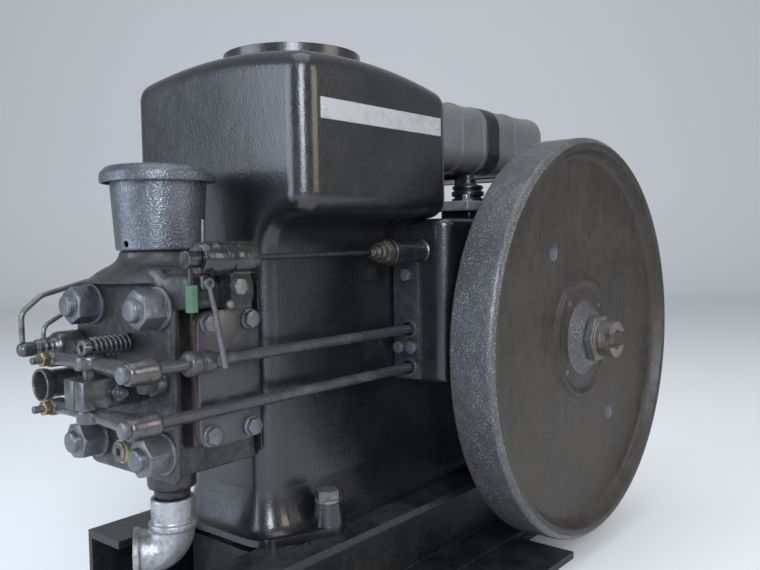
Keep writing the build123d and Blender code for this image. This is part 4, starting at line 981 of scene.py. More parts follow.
    def repeat(self, name: str, master: Piece, facing: Facing, places: list[tuple[Point, float]]) -> Piece:
        """Lays copies of one piece at several places, as one piece.

        Args:
            name: The new piece's name.
            master: The piece to copy, which is used up.
            facing: The way the copies point.
            places: Each copy's origin in millimetres and its turn in degrees.

        Returns:
            The joined copies.
        """
        copies = []
        for index, (origin, spin) in enumerate(places):
            self.choose(master)
            bpy.ops.object.duplicate()
            bpy.context.object.name = f"{name}_{index}"
            copies.append(self.place(bpy.context.object, origin, facing, spin))
        bpy.data.objects.remove(master)
        return self.join(name, *copies)

    def join(self, name: str, *pieces: Piece) -> Piece:
        """Makes several pieces one.

        Args:
            name: The name of the whole.
            pieces: The pieces.

        Returns:
            The joined piece.
        """
        self.choose(*reversed(pieces))
        if len(pieces) > 1:
            bpy.ops.object.join()
        bpy.context.object.name = name
        return bpy.context.object

    def cast(self, name: str, node: str, grain: float, rounds: int, *swells: Piece) -> Piece:
        """Casts pieces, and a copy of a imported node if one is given, as one soft-edged body.

        Args:
            name: The piece's name.
            node: The node whose shape is cast in, or nothing.
            grain: The size of the new faces, in millimetres.
            rounds: How often the surface is smoothed.
            swells: The pieces that are cast in.

        Returns:
            The soft-edged piece.
        """
        copies = []
        if node:
            made = bpy.data.objects.new(name, self.nodes[node].data.copy())
            bpy.context.scene.collection.objects.link(made)
            made.data.materials.clear()
            with self.editing(made):
                bpy.ops.mesh.customdata_custom_splitnormals_clear()
                bpy.ops.mesh.remove_doubles(threshold=MERGE_DISTANCE)
            copies.append(made)
        piece = self.join(name, *copies, *swells)
        self.modify(piece, "REMESH", mode="VOXEL", voxel_size=grain * MM)
        self.modify(piece, "SMOOTH", factor=0.5, iterations=rounds)
        bpy.ops.object.shade_smooth()
        return piece

    def add(self, piece: Piece, node: str, finish: str = "") -> None:
        """Gives a piece its finish and hands it over to the frame.

        Args:
            piece: The finished piece.
            node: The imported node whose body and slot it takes.
            finish: The finish, where it isn't the slot's own.
        """
        slot = self.slots[node]
        if not piece.data.materials:
            piece.data.materials.append(self.materials[finish or slot])
        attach(piece, self.bodies[node])
        LOG.info("%s: %d faces", piece.name, len(piece.data.polygons))

    def fit(self, piece: Piece, node: str, finish: str = "", *also: str) -> None:
        """Hands over a piece that stands for a node, and for further nodes.

        Args:
            piece: The finished piece.
            node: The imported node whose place, body and slot it takes.
            finish: The finish, where it isn't the slot's own.
            also: Further nodes that it stands for.
        """
        self.add(piece, node, finish)
        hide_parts(node, *also)

    def dress_nodes(self) -> None:
        """Puts the slot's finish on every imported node."""
        for name, node in self.nodes.items():
            for place in node.material_slots:
                place.link = "OBJECT"
                place.material = self.materials[self.slots[name]]
        LOG.info("dressed %d nodes", len(self.nodes))


# Sub-assemblies


@dataclass
class HeadCasting:
    """The cylinder head's rough casting with its stud nuts, seals, side cover and the exhaust elbow."""

    face_x: float = -618
    grain: float = 2.4
    elbow_grain: float = 1.3
    neck: Corners = ((20, 0, 0), (80, 0, 4), (62, 14, 8), (48, 20, 6), (43, 28, 5), (42, 33.5, 1),
                     (20, 33.5, 0))
    neck_place: Point = (-571, 0, 433)
    plug_ring: Corners = ((9, 0, 0), (9, 5, 1.5), (13, 3, 1.5), (13.5, 0, 0))
    plug_spot: tuple[float, float] = (11, 253)
    stud_ys: tuple[float, float] = (-63, 57)
    stud_zs: tuple[float, float] = (262, 409)
    spins: tuple[float, ...] = (14, 41, 8, 26)
    across: float = 36
    nut_height: float = 24
    stud_radius: float = 12
    stud_rise: float = 8
    washer_radius: float = 22
    washer_height: float = 4
    thread_pitch: float = 1.75
    thread_depth: float = 0.8
    cover_low: Point = (-592, -90, 263)
    cover_high: Point = (-512, -82, 405)
    cover_corner: float = 16
    cover_seat_y: float = -79
    bolt_inset: float = 13
    bolt_across: float = 17
    bolt_height: float = 8
    bolt_spin: float = 17
    bolt_washer: Corners = ((3, 0, 0), (11, 0, 0.3), (11, 1.6, 0.5), (3, 1.6, 0))
    seal_low: Point = (-491.5, -67, 238)
    seal_high: Point = (-490, 67, 430)

    def build(self, bench: Bench) -> None:
        """Makes the casting with its plug ring, the four stud nuts, the seals, the cover and the elbow.

        Args:
            bench: The bench to make it on.
        """
        neck = bench.turned("neck", self.neck, self.neck_place, segments=64)
        bench.fit(bench.cast("head_casting", "cylinder_head", self.grain, 5, neck), "cylinder_head")
        places = [(self.face_x, y, z) for y in self.stud_ys for z in self.stud_zs]
        nuts = bench.repeat("stud_nuts", self._stud_nut(bench), Facing.FRONT, list(zip(places, self.spins)))
        bench.fit(nuts, "head_nuts", "nut_grey")
        seal = bench.block("head_seal", self.seal_low, self.seal_high)
        bench.fit(bench.soften(seal, 0.3, 1), "gaskets", "strap_steel")
        copper = self._slab(bench, "cover_seal", self.cover_high[1], self.cover_seat_y)
        bench.add(bench.soften(copper, 0.4, 1), "gaskets")
        self._cover(bench)
        bench.fit(bench.cast("elbow_casting", "exhaust_elbow", self.elbow_grain, 3), "exhaust_elbow")
        ring = bench.turned("plug_ring", self.plug_ring, (self.face_x, *self.plug_spot), Facing.FRONT, 40,
                            True)
        bench.add(ring, "cylinder_head", "yellow_smear")

    def _slab(self, bench: Bench, name: str, near_y: float, far_y: float) -> Piece:
        """Makes a round-cornered slab of the side cover's outline.

        Args:
            bench: The bench to make it on.
            name: The slab's name.
            near_y: Its lower Y.
            far_y: Its higher Y.

        Returns:
            The slab.
        """
        slab = bench.block(name, (self.cover_low[0], near_y, self.cover_low[2]),
                           (self.cover_high[0], far_y, self.cover_high[2]))
        return bench.round_block(slab, 1, self.cover_corner, 8)

    def _cover(self, bench: Bench) -> None:
        """Makes the side cover with a worn bright rim and its four bolts.

        Args:
            bench: The bench to make it on.
        """
        cover = bench.soften(self._slab(bench, "side_cover", self.cover_low[1], self.cover_high[1]), 1)
        cover.data.materials.append(bench.materials["cover_metal"])
        bench.paint(cover, "cover_rim", lambda centre, normal: abs(normal.y) < 0.8)
        bench.fit(cover, "jacket_cover")
        bolt = bench.join("cover_bolt", bench.hexagon("cover_bolt", self.bolt_across, self.bolt_height),
                          bench.turned("bolt_washer", self.bolt_washer, segments=32))
        xs, zs = ((self.cover_low[axis] + self.bolt_inset, self.cover_high[axis] - self.bolt_inset)
                  for axis in (0, 2))
        places = [(x, self.cover_low[1], z) for x in xs for z in zs]
        spins = [self.bolt_spin * index for index in range(len(places))]
        bench.add(bench.repeat("cover_bolts", bolt, Facing.NEAR, list(zip(places, spins))), "jacket_cover",
                  "nut_grey")

    def _stud_nut(self, bench: Bench) -> Piece:
        """Makes one washer, nut and threaded stud end along +Z.

        Args:
            bench: The bench to make it on.

        Returns:
            The joined piece.
        """
        stud, rise = self.stud_radius, self.washer_height
        washer = bench.turned("washer", ((stud, 0, 0), (self.washer_radius, 0, 0.8),
                                         (self.washer_radius, rise, 0.8), (stud, rise, 0)), ring=True)
        nut = bench.hexagon("nut", self.across, self.nut_height, (0, 0, rise))
        foot = rise + self.nut_height
        top = foot + self.stud_rise
        pitch = self.thread_pitch
        thread = ridges(stud, foot, top - 2 * pitch, pitch, pitch / 2, self.thread_depth, 0.3)
        corners = [(stud, foot - 1, 0), *thread, (stud - 1.5, top - 0.4, 1), (stud - 4, top, 0)]
        return bench.join("stud_nut", nut, washer, bench.turned("stud", corners, segments=40, steps=2))


@dataclass
class ValveGear:
    """The forged rockers with their screws and pushrods, the split pedestal, the plunger and the injector."""

    face_x: float = -618
    pin: tuple[float, float] = (-665, -10)
    eye: tuple[float, float] = (-676, -101)
    boss: tuple[float, float] = (-666, 56)
    boss_radius: float = 9
    pin_bore: float = 7.05
    grain: float = 0.9
    heights: tuple[float, float] = (355, 304)
    hub_radius: float = 14.5
    socket_cap: Corners = ((1, 0, 0), (8.5, 0, 0.5), (8.5, 5.5, 1.2), (5.5, 6.6, 0.6), (1, 6.6, 0))
    screw_radius: float = 4
    screw_front: float = 26
    screw_back: float = 13
    locknut_across: float = 14
    locknut_height: float = 7
    clamp_heights: tuple[float, float] = (311, 340)
    clamp_half: float = 18
    clamp_bolt_across: float = 17
    clamp_bolt_height: float = 8
    rod_span: tuple[float, float] = (-665.6, -228)
    rod_radius: float = 6.2
    tappet_length: float = 24
    rod_collar: Corners = (
        (6.2, -617, 1), (11, -616.6, 1.5), (13.2, -613, 2), (13.2, -604, 1.5), (11.8, -602, 1),
        (9.6, -601, 0.5), (9.6, -598.6, 0.5), (11.6, -598, 1), (11.6, -586, 1.5), (8, -584.6, 1),
        (8, -575, 1.5), (6.2, -574, 1))
    plunger_ring: Corners = ((3.5, 0, 0), (3.5, 8, 1.2), (8.8, 8, 1.8), (8.8, 0, 0))
    plunger_stem: Corners = ((2, 0, 0), (4.2, 0, 0.5), (4.2, 50, 1), (2, 50, 0))
    plunger_z: float = 371
    chamber_ring: Corners = (
        (11, 7, 0), (12.5, 30, 3), (14.6, 44, 2), (15.6, 47, 0.8), (18, 47, 1), (18.2, 40, 1.5),
        (15.5, 34, 3), (15.5, 14, 4), (18, 8, 3), (18, 0, 0), (11, 0, 0))
    chamber_spot: tuple[float, float] = (93, 322)
    injector: Corners = (
        (6, 0, 0), (16, 0, 1), (16, 28, 6), (11.5, 33, 3), (11, 36.5, 1), (9.4, 37.5, 0.6), (9.4, 40, 0.6),
        (11, 41, 0.6), (11, 43.5, 0.6), (9.6, 44.5, 0.5), (9.6, 50, 1), (7, 51, 1), (7, 53, 0.5),
        (8, 54, 0.8), (8, 65, 1.5), (6.4, 69, 2), (3, 70, 0))
    injector_spot: tuple[float, float] = (91, 363)
    injector_nut: tuple[float, float, float] = (17.5, 9, 41.5)
    coil_seat: float = 1.6

    def build(self, bench: Bench) -> None:
        """Makes the rockers, pushrods, screws and locknuts of both levels, and the parts they stand by.

        Args:
            bench: The bench to make it on.
        """
        for level, height in zip(("upper", "lower"), self.heights):
            self._rocker(bench, level, height)
            bench.fit(self._pushrod(bench, level, height), f"{level}_pushrod")
            bench.fit(self._screw(bench, level, height), f"{level}_adjuster", "steel_parts")
            locknut = bench.hexagon(f"{level}_locknut", self.locknut_across, self.locknut_height,
                                    (self.boss[0] - self.boss_radius, self.boss[1], height),
                                    Facing.FRONT, 12)
            bench.add(locknut, f"{level}_adjuster", "locknut_brass")
        bench.fit(self._pedestal(bench), "rocker_pedestal")
        self._plunger(bench)
        bench.fit(bench.turned("chamber_ring", self.chamber_ring, (self.face_x, *self.chamber_spot),
                               Facing.FRONT, 64, True), "chamber_collar")
        body = bench.turned("injector_body", self.injector, (self.face_x, *self.injector_spot), Facing.FRONT,
                            56)
        across, length, reach = self.injector_nut
        nut = bench.hexagon("injector_hex", across, length, (self.face_x - reach, *self.injector_spot),
                            Facing.FRONT, 9)
        bench.fit(bench.join("injector_assembly", body, nut), "injector")

    def _rocker(self, bench: Bench, level: str, height: float) -> None:
        """Forges one rocker: a hub on the pin, two round arms, a barrel at the pushrod and the screw's boss.

        Args:
            bench: The shared modelling steps.
            level: Upper or lower.
            height: The level's height, in millimetres.
        """
        eye_x, eye_y = self.eye
        boss_x, boss_y = self.boss
        low, high = (-6, 8.5) if level == "upper" else (-8.5, 6)
        middle = (*self.pin, height)
        hub = bench.turned("hub", ((3, low, 0), (self.hub_radius, low, 1.5), (self.hub_radius, high, 2.5),
                                   (3, high, 0)), middle)
        reach = self.boss_radius
        runs = (("boss", (boss_x - reach, boss_y), (boss_x + reach, boss_y), 9, 9),
                ("near_arm", (eye_x + 8, eye_y + 4), self.pin, 11, 6.6),
                ("far_arm", self.pin, (boss_x, boss_y - 3), 6.4, 7),
                ("barrel", (eye_x - 8, eye_y), (eye_x + 25, eye_y), 11.5, 14))
        bars = [bench.bar(name, (*start, height), (*end, height), first, last)
                for name, start, end, first, last in runs]
        forging = bench.cast(f"{level}_rocker_forging", "", self.grain, 5, hub, *bars)
        bench.pierce(forging, self.pin_bore, -30, 30, middle)
        bench.fit(bench.smooth(forging, 50), f"{level}_rocker")
        bench.add(bench.turned(f"{level}_socket_cap", self.socket_cap, (eye_x - 7.5, eye_y, height),
                               Facing.FRONT, 40), f"{level}_rocker", "nut_grey")

    def _pushrod(self, bench: Bench, level: str, height: float) -> Piece:
        """Makes a pushrod along +X with its cup end. The upper one carries a collar, a nut and a sleeve.

        Args:
            bench: The bench to make it on.
            level: Either upper or lower.
            height: The height of its axis.

        Returns:
            The pushrod.
        """
        start, end = self.rod_span
        tappet = end - self.tappet_length
        collar = self.rod_collar if level == "upper" else ()
        corners = ((4, start, 0), (8.5, start, 1.5), (8.8, start + 9, 2), (self.rod_radius, start + 13, 2),
                   *collar, (self.rod_radius, tappet, 1), (8.9, tappet + 1, 1), (8.9, end, 1), (3, end, 0))
        return bench.turned(f"{level}_rod", [(radius, x - start, ease) for radius, x, ease in corners],
                            (start, self.eye[1], height), Facing.REAR, steps=3)

    def _pedestal(self, bench: Bench) -> Piece:
        """Makes the split clamp round the pin, with its bolt.

        Args:
            bench: The bench to make it on.

        Returns:
            The joined piece.
        """
        x, y = self.pin
        low, high = self.clamp_heights
        half = self.clamp_half
        clamp = bench.block("clamp", (x - half, y - half, low), (self.face_x, y + half, high))
        bench.pierce(clamp, 7, low - 5, high + 5, (x, y, 0))
        bench.meet(clamp, bench.block("slit", (x - half - 2, y - 0.9, low - 1), (x, y + 0.9, high + 1)))
        bench.soften(clamp, 0.7)
        bolt = bench.join("clamp_bolt",
                          bench.hexagon("clamp_bolt", self.clamp_bolt_across, self.clamp_bolt_height),
                          bench.lathe("clamp_thread", self._thread(5, 15.5), 32))
        bench.place(bolt, (x + half, y - half, (low + high) / 2), Facing.NEAR, 20)
        head = bench.hexagon("clamp_head", self.clamp_bolt_across, self.clamp_bolt_height,
                             (x + half, y + half, (low + high) / 2), Facing.FAR)
        return bench.join("pedestal_clamp", clamp, bolt, head)

    @staticmethod
    def _thread(radius: float, length: float, pitch: float = 1.4) -> Profile:
        """Gives the profile of a threaded end with sharp ridges.

        Args:
            radius: The outer radius.
            length: The length.
            pitch: The step from ridge to ridge.

        Returns:
            The profile.
        """
        points: Profile = [(radius * 0.3, 0)]
        for ridge in range(int(length / pitch)):
            points += [(radius - 0.5, ridge * pitch), (radius, ridge * pitch + pitch / 2)]
        return points + [(radius - 0.8, length), (radius * 0.3, length)]

    def _plunger(self, bench: Bench) -> None:
        """Makes the plunger over the rocker pin: its stem, the ring at its end and the coil round it.

        Args:
            bench: The bench to make it on.
        """
        x, y = self.boss[0], self.pin[1]
        z, front = self.plunger_z, Facing.FRONT
        ring = bench.turned("plunger_ring", self.plunger_ring, (x, y, z), front, ring=True)
        stem = bench.turned("plunger_stem", self.plunger_stem, (self.face_x, y, z), front, 32)
        bench.fit(bench.join("plunger", ring, stem), "spring_plunger")
        spring = bench.coil("plunger_spring", radius=9, wire=3, length=43, turns=8)
        bench.add(bench.place(spring, (self.face_x - self.coil_seat, y, z), front), "spring_plunger")

    def _screw(self, bench: Bench, level: str, height: float) -> Piece:
        """Makes an adjusting screw along +X with a rounded valve end. The upper one has a slot.

        Args:
            bench: The bench to make it on.
            level: Either upper or lower.
            height: The height of its axis.

        Returns:
            The screw.
        """
        radius = self.screw_radius
        back = self.screw_front + self.screw_back
        threaded = self.screw_front - self.boss_radius - self.locknut_height - 1
        threads = ridges(radius, 2, threaded, 1.25, 0.6, 0.5, 0.2)
        corners = [(radius * 0.7, 0, 0), (radius, 0.8, 0.4), *threads, (radius, back - 2, 1.5),
                   (radius * 0.35, back, 0)]
        screw = bench.turned(f"{level}_screw", corners, segments=32, steps=2)
        if level == "upper":
            bench.meet(screw, bench.block("slot", (-6, -0.9, -1), (6, 0.9, 2.6)))
            bench.smooth(screw)
        return bench.place(screw, (self.boss[0] - self.screw_front, self.boss[1], height), Facing.REAR)


@dataclass
class AirFilter:
    """The tapered filter can with its drain hole, and the lid with its rolled rim."""

    x: float = -570
    can_base: float = 466.5
    can_top: float = 548.5
    base_radius: float = 47
    top_radius: float = 51.5
    wall: float = 2
    hole_rise: float = 7
    hole_radius: float = 3.5
    hole_depth: float = 16
    hole_heading: float = 188
    lid_base: float = 538.5
    lid_radius: float = 61.5
    lid_height: float = 20

    def build(self, bench: Bench) -> None:
        """Makes the can with its drain hole, and the lid.

        Args:
            bench: The bench to make it on.
        """
        height = self.can_top - self.can_base
        wall, foot, rim = self.wall, self.base_radius, self.top_radius
        can = bench.turned("filter_can", (
            (2, 0, 0), (foot - 1, 0, 2.5), (foot, 2.5, 1.5), (rim, height - 2, 1), (rim, height, 1),
            (rim - wall, height, 0.8), (foot - wall, wall, 2), (2, wall, 0)), segments=128)
        turn = math.radians(self.hole_heading)
        reach = foot + (rim - foot) * self.hole_rise / height
        bpy.ops.mesh.primitive_cylinder_add(
            vertices=24, radius=self.hole_radius * MM, depth=self.hole_depth * MM,
            location=Vector((reach * math.cos(turn), reach * math.sin(turn), self.hole_rise)) * MM,
            rotation=(0, math.pi / 2, turn))
        bench.meet(can, bench.added("drill"))
        bench.smooth(can)
        bench.fit(bench.place(can, (self.x, 0, self.can_base)), "air_filter_can")
        radius, top = self.lid_radius, self.lid_height
        bench.fit(bench.turned("filter_lid", (
            (2, 10, 0), (rim + 1, 10, 1), (radius - 2.2, 7, 1), (radius - 2, 0.4, 0.8),
            (radius - 1, 0, 0.6), (radius, 0.6, 0.6), (radius, 10.5, 3.5), (radius - 7, top - 2.2, 4),
            (24, top - 0.2, 3), (2, top, 0)),
            (self.x, 0, self.lid_base), segments=128), "air_filter_cap")


@dataclass
class Wheel:
    """The flywheel's rim, recessed web, boss and hub cone, and the nut with its starting dog."""

    radius: float = 290
    width: float = 62
    front_y: float = -248
    axis_z: float = 325
    lip: float = 271
    web: float = 22
    web_thickness: float = 22
    boss: float = 88
    hub: float = 60
    hub_back: float = 76
    bore: float = 27
    bright_hub: float = 54
    bright_rim: float = 11
    hole_circles: tuple[tuple[float, float], ...] = ((157, 14), (70, 6))
    holes: tuple[tuple[float, float, float], ...] = (
        (157, 126, 12), (157, 306, 12), (70, 40, 4.5), (70, 130, 4.5), (70, 220, 4.5), (70, 310, 4.5))

    def build(self, bench: Bench) -> None:
        """Makes the wheel in one casting and the worn starting dog.

        Args:
            bench: The bench to make it on.
        """
        wheel = self._wheel(bench)
        wheel.data.materials.append(bench.materials["wheel_iron"])
        bench.paint(wheel, "wheel_rim", self._bright)
        # The hole walls get the pale finish as painted light, for the lit backdrop seen through the holes.
        bench.paint(wheel, "breather_pale", self._lit_hole_wall)
        bench.fit(wheel, "flywheel", "", "flywheel_rim")
        bench.fit(bench.cast("dog_forging", "starting_nut", 0.9, 2), "starting_nut")

    def _polar(self, centre: Vector) -> tuple[float, float]:
        """Gives a place's distance from the axis and its depth from the front."""
        return math.hypot(centre.x, centre.z - self.axis_z), centre.y - self.front_y

    def _bright(self, centre: Vector, normal: Vector) -> bool:
        """Tells whether a face lies on the rim or on the hub's cone."""
        reach, depth = self._polar(centre)
        return reach > self.lip + self.bright_rim or (reach < self.bright_hub and depth < self.web - 1)

    def _lit_hole_wall(self, centre: Vector, normal: Vector) -> bool:
        """Tells whether a face is the wall of a hole in the web, which gets a pale finish as painted light,
        standing for the lit space seen through the hole.

        Args:
            centre: The face's centre.
            normal: The way it looks.

        Returns:
            True for such a wall.
        """
        reach, depth = self._polar(centre)
        return self.web < depth < self.web + 20 and abs(normal.y) < 0.2 and any(
            abs(reach - circle) < margin for circle, margin in self.hole_circles)

    def _wheel(self, bench: Bench) -> Piece:
        """Makes the turned body, drilled, with its axis along Y.

        Args:
            bench: The bench to make it on.

        Returns:
            The wheel.
        """
        outer, width, lip = self.radius, self.width, self.lip
        web, boss, hub = self.web, self.boss, self.hub
        back = web + self.web_thickness
        face = web - 3
        cone = face - 15
        wheel = bench.turned("wheel_casting", (
            (self.bore, cone, 0), (38, cone, 2), (52, face, 2), (boss - 12, face + 1.5, 3),
            (boss - 6, face - 2.6, 2.4), (boss - 1, face - 2, 2.4), (boss + 5, web, 4),
            (lip - 24, web - 2, 12), (lip - 7, web - 4, 5), (lip - 1, 9, 4), (lip + 3, 1.2, 2),
            (lip + 5, 0, 1.5), (outer - 6, 0, 3), (outer, 6, 3), (outer, width - 2, 1.5),
            (outer - 2, width, 1), (lip - 4, width, 3), (lip - 14, back, 6), (hub + 12, back, 4),
            (hub, back + 8, 3), (hub, self.hub_back, 1), (self.bore, self.hub_back, 0)),
            segments=224, ring=True)
        for distance, angle, radius in self.holes:
            turn = math.radians(angle)
            depth, middle = (90, 25) if radius > 10 else (50, 6)
            bpy.ops.mesh.primitive_cylinder_add(
                vertices=28, radius=radius * MM, depth=depth * MM,
                location=Vector((distance * math.cos(turn), -distance * math.sin(turn), middle)) * MM)
            bench.meet(wheel, bench.added("drill"))
        return bench.place(bench.smooth(wheel), (0, self.front_y, self.axis_z), Facing.FAR)


@dataclass
class ControlGear:
    """The worn control bracket, its cam-shouldered collar, the guide tube and the release lever."""

    front_x: float = -600
    y: float = -118
    z: float = 458
    bore: float = 2.55
    barrel: Corners = ((2.55, 0, 0), (15.5, 0, 1.5), (17.6, 3, 2), (17.8, 22, 3), (16.2, 26, 2),
                       (17.4, 30, 2), (17.4, 50, 2), (16.4, 55, 2), (2.55, 55, 0))
    cam: Corners = ((2.55, 0, 0), (13, 0, 1.5), (16.6, 4, 1), (16.6, 15, 0.5), (2.55, 15, 0))
    cam_length: float = 12
    cam_cut: float = 7
    cam_slant: Point = (0.42, 0.3, -0.85)
    bolt_size: tuple[float, float] = (15, 9)
    wire_radius: float = 1.3
    bolt_place: Point = (-573, -127.5, 430)
    knob: Corners = ((1, 0, 0), (4.5, 0, 0.5), (4.5, 4, 2), (1, 5.5, 0))
    knob_place: Point = (-582, -127.5, 413)
    lever_y: float = -119.8
    lever_path: tuple[tuple[float, float], ...] = ((-600, 434), (-598, 423), (-593, 405), (-588.5, 380),
                                                   (-582.5, 349))
    lever_bore: float = 3.05
    tube_seat: float = -250
    tube_end: float = -357
    nuts: tuple[tuple[str, float, float, float, float], ...] = (
        ("guide_nut", 25, 12, 35.4, 15), ("guide_lock_nut", 21, 7, 22.6, 40))
    nut_bore: float = 8
    sleeve_end: float = -546
    sleeve_radius: float = 3.3

    def build(self, bench: Bench) -> None:
        """Makes the bracket casting with its bolt, knob and wire, the guide tube and the lever.

        Args:
            bench: The bench to make it on.
        """
        barrel = bench.turned("barrel_swell", self.barrel, (self.front_x, self.y, self.z), Facing.REAR,
                              ring=True)
        cam = bench.turned("cam", self.cam, ring=True)
        with bench.editing(cam, "FACE"):
            bpy.ops.mesh.bisect(plane_co=(0, 0, self.cam_cut * MM), plane_no=self.cam_slant, use_fill=True,
                                clear_outer=True)
        bench.place(cam, (self.front_x - self.cam_length, self.y, self.z), Facing.REAR)
        bench.fit(bench.cast("bracket_casting", "control_bracket", 0.9, 3, barrel, cam), "control_bracket")
        bolt = bench.hexagon("post_bolt", *self.bolt_size, self.bolt_place, Facing.NEAR, 20)
        knob = bench.turned("post_knob", self.knob, self.knob_place, Facing.NEAR, 28)
        wire = bench.bar("upright_wire", (self.front_x - 5, self.y, self.z + 12),
                         (self.front_x - 4, self.y, self.z + 38), self.wire_radius, self.wire_radius)
        bench.add(bench.join("bracket_fasteners", bolt, knob), "control_bracket", "bolt_steel")
        bench.add(wire, "control_bracket", "nut_grey")
        self._tube(bench)
        bench.fit(self._lever(bench), "release_lever", "nut_grey")

    def _lever(self, bench: Bench) -> Piece:
        """Makes the bent strip that hangs beside the pushrod, with its eye on the bracket's pin.

        Args:
            bench: The bench to make it on.

        Returns:
            The lever.
        """
        places = [(x, self.lever_y, z) for x, z in self.lever_path]
        runs = [bench.bar("run", start, end, 2.6 + 0.25 * index, 2.85 + 0.25 * index)
                for index, (start, end) in enumerate(zip(places, places[1:]))]
        for run in runs:
            with bench.editing(run):
                bpy.ops.transform.resize(value=(1, 0.55, 1), center_override=Vector(places[0]) * MM)
        bore = self.lever_bore
        eye = bench.turned("lever_eye", ((bore, -1.5, 0), (6, -1.5, 0.6), (6, 1.5, 0.6), (bore, 1.5, 0)),
                           places[0], Facing.NEAR, 40, True)
        strip = bench.cast("lever_strip", "", 0.5, 2, *runs)
        bench.pierce(strip, bore, -6, 6, places[0], Facing.NEAR, 32)
        return bench.join("lever_strip", strip, eye)

    def _tube(self, bench: Bench) -> None:
        """Makes the guide tube with its flange, washer, nuts and tip, and the sleeve on the control rod.

        Args:
            bench: The bench to make it on.
        """
        seat, inner = self.tube_seat, self.bore + 1
        flange = seat - self.tube_end
        tube = bench.turned("guide_tube_body", (
            (inner, 0, 0), (15, 0, 0.5), (16.4, 4, 1.5), (13.4, 6, 1.5), (13.4, flange - 41, 1),
            (16.6, flange - 40.4, 1.2), (16.6, flange - 36, 1.2), (9, flange - 35.4, 1), (9, flange - 11, 1),
            (6.6, flange - 10.4, 0.6), (6.6, flange - 5, 1), (5, flange - 1, 1), (4.6, flange, 0.6),
            (inner, flange, 0)), (seat, self.y, self.z), Facing.FRONT, 56, True)
        nuts = []
        for name, across, height, reach, spin in self.nuts:
            nut = bench.hexagon(name, across, height)
            bench.pierce(nut, self.nut_bore, -1, 15, segments=32)
            nuts.append(bench.place(nut, (self.tube_end + reach, self.y, self.z), Facing.FRONT, spin))
        bench.fit(tube, "guide_tube", "control_metal")
        bench.add(bench.join("guide_nuts", *nuts), "guide_tube", "locknut_dull")
        sleeve = bench.bar("rod_sleeve", (self.sleeve_end, self.y, self.z),
                           (self.tube_end - 1, self.y, self.z), self.sleeve_radius, self.sleeve_radius)
        bench.add(sleeve, "control_rod", "strap_steel")


@dataclass
class TappetPlate:
    """The upright plate that guides both pushrods, with its three bolts and two worn rings."""

    front_x: float = -258
    rod_y: float = -101
    rod_heights: tuple[float, float] = (355, 304)
    bolts: tuple[tuple[float, float], ...] = ((-100, 427), (-87, 330.5), (-107.5, 331))
    bolt_spins: tuple[float, ...] = (11, 28, 45)
    bolt_size: tuple[float, float] = (15, 8)
    ring: Corners = ((9.3, 0, 0), (9.3, 2.2, 0.8), (12.6, 2.2, 0.8), (12.6, 0, 0))

    def build(self, bench: Bench) -> None:
        """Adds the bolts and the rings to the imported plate.

        Args:
            bench: The bench to make it on.
        """
        bolts = [((self.front_x, y, z), spin) for (y, z), spin in zip(self.bolts, self.bolt_spins)]
        rings = [((self.front_x, self.rod_y, z), 0) for z in self.rod_heights]
        bolt = bench.hexagon("plate_bolt", *self.bolt_size)
        bench.add(bench.repeat("plate_bolts", bolt, Facing.FRONT, bolts), "tappet_plate", "nut_grey")
        ring = bench.turned("rod_ring", self.ring, ring=True)
        bench.add(bench.repeat("rod_rings", ring, Facing.FRONT, rings), "tappet_plate", "nut_grey")


@dataclass
class Breather:
    """The pale flange plate on its pad, the black cup with its stacked discs, and the bright bolt."""

    x: float = -117
    y: float = -104
    base_z: float = 500
    pad_height: float = 12
    pad_half: tuple[float, float] = (33.6, 24.8)
    plate_height: float = 14
    plate_half: tuple[float, float] = (48, 31)
    bolt_size: tuple[float, float] = (10, 9)
    bolt_spot: tuple[float, float] = (-149, -122)
    cup: Corners = (
        (23, -1, 0), (23, 4.5, 1), (19.5, 5.5, 0.8), (19.5, 7.5, 0.8), (23.5, 8.5, 1.2), (23.5, 14.5, 1.2),
        (20, 15.5, 0.8), (20, 17.5, 0.8), (22.5, 18.5, 1.2), (22, 23, 2.5), (13, 25, 1.5), (12, 27, 1),
        (12, 33, 1.2), (9, 34, 0.8), (9, 37.9, 0.5), (3, 37.9, 0))

    def build(self, bench: Bench) -> None:
        """Makes the plate, its pad, the cup with its discs, and the bolt.

        Args:
            bench: The bench to make it on.
        """
        seat = self.base_z + self.pad_height
        top = seat + self.plate_height
        bench.fit(self._slab(bench, "breather_plate", self.plate_half, seat, top, 2), "breather")
        bench.add(self._slab(bench, "breather_pad", self.pad_half, self.base_z, seat + 1, 3), "breather",
                  "block_paint")
        bench.add(bench.turned("breather_cup", self.cup, (self.x, self.y, top), segments=56), "breather",
                  "strap_steel")
        bolt = bench.hexagon("breather_bolt", *self.bolt_size, (*self.bolt_spot, top), spin=10)
        bench.add(bolt, "breather", "bright_zinc")

    def _slab(self, bench: Bench, name: str, half: tuple[float, float], low: float, high: float,
              ease: float) -> Piece:
        """Makes a level slab with eased edges round the breather's axis."""
        return bench.soften(bench.block(name, (self.x - half[0], self.y - half[1], low),
                                        (self.x + half[0], self.y + half[1], high)), ease, 3)


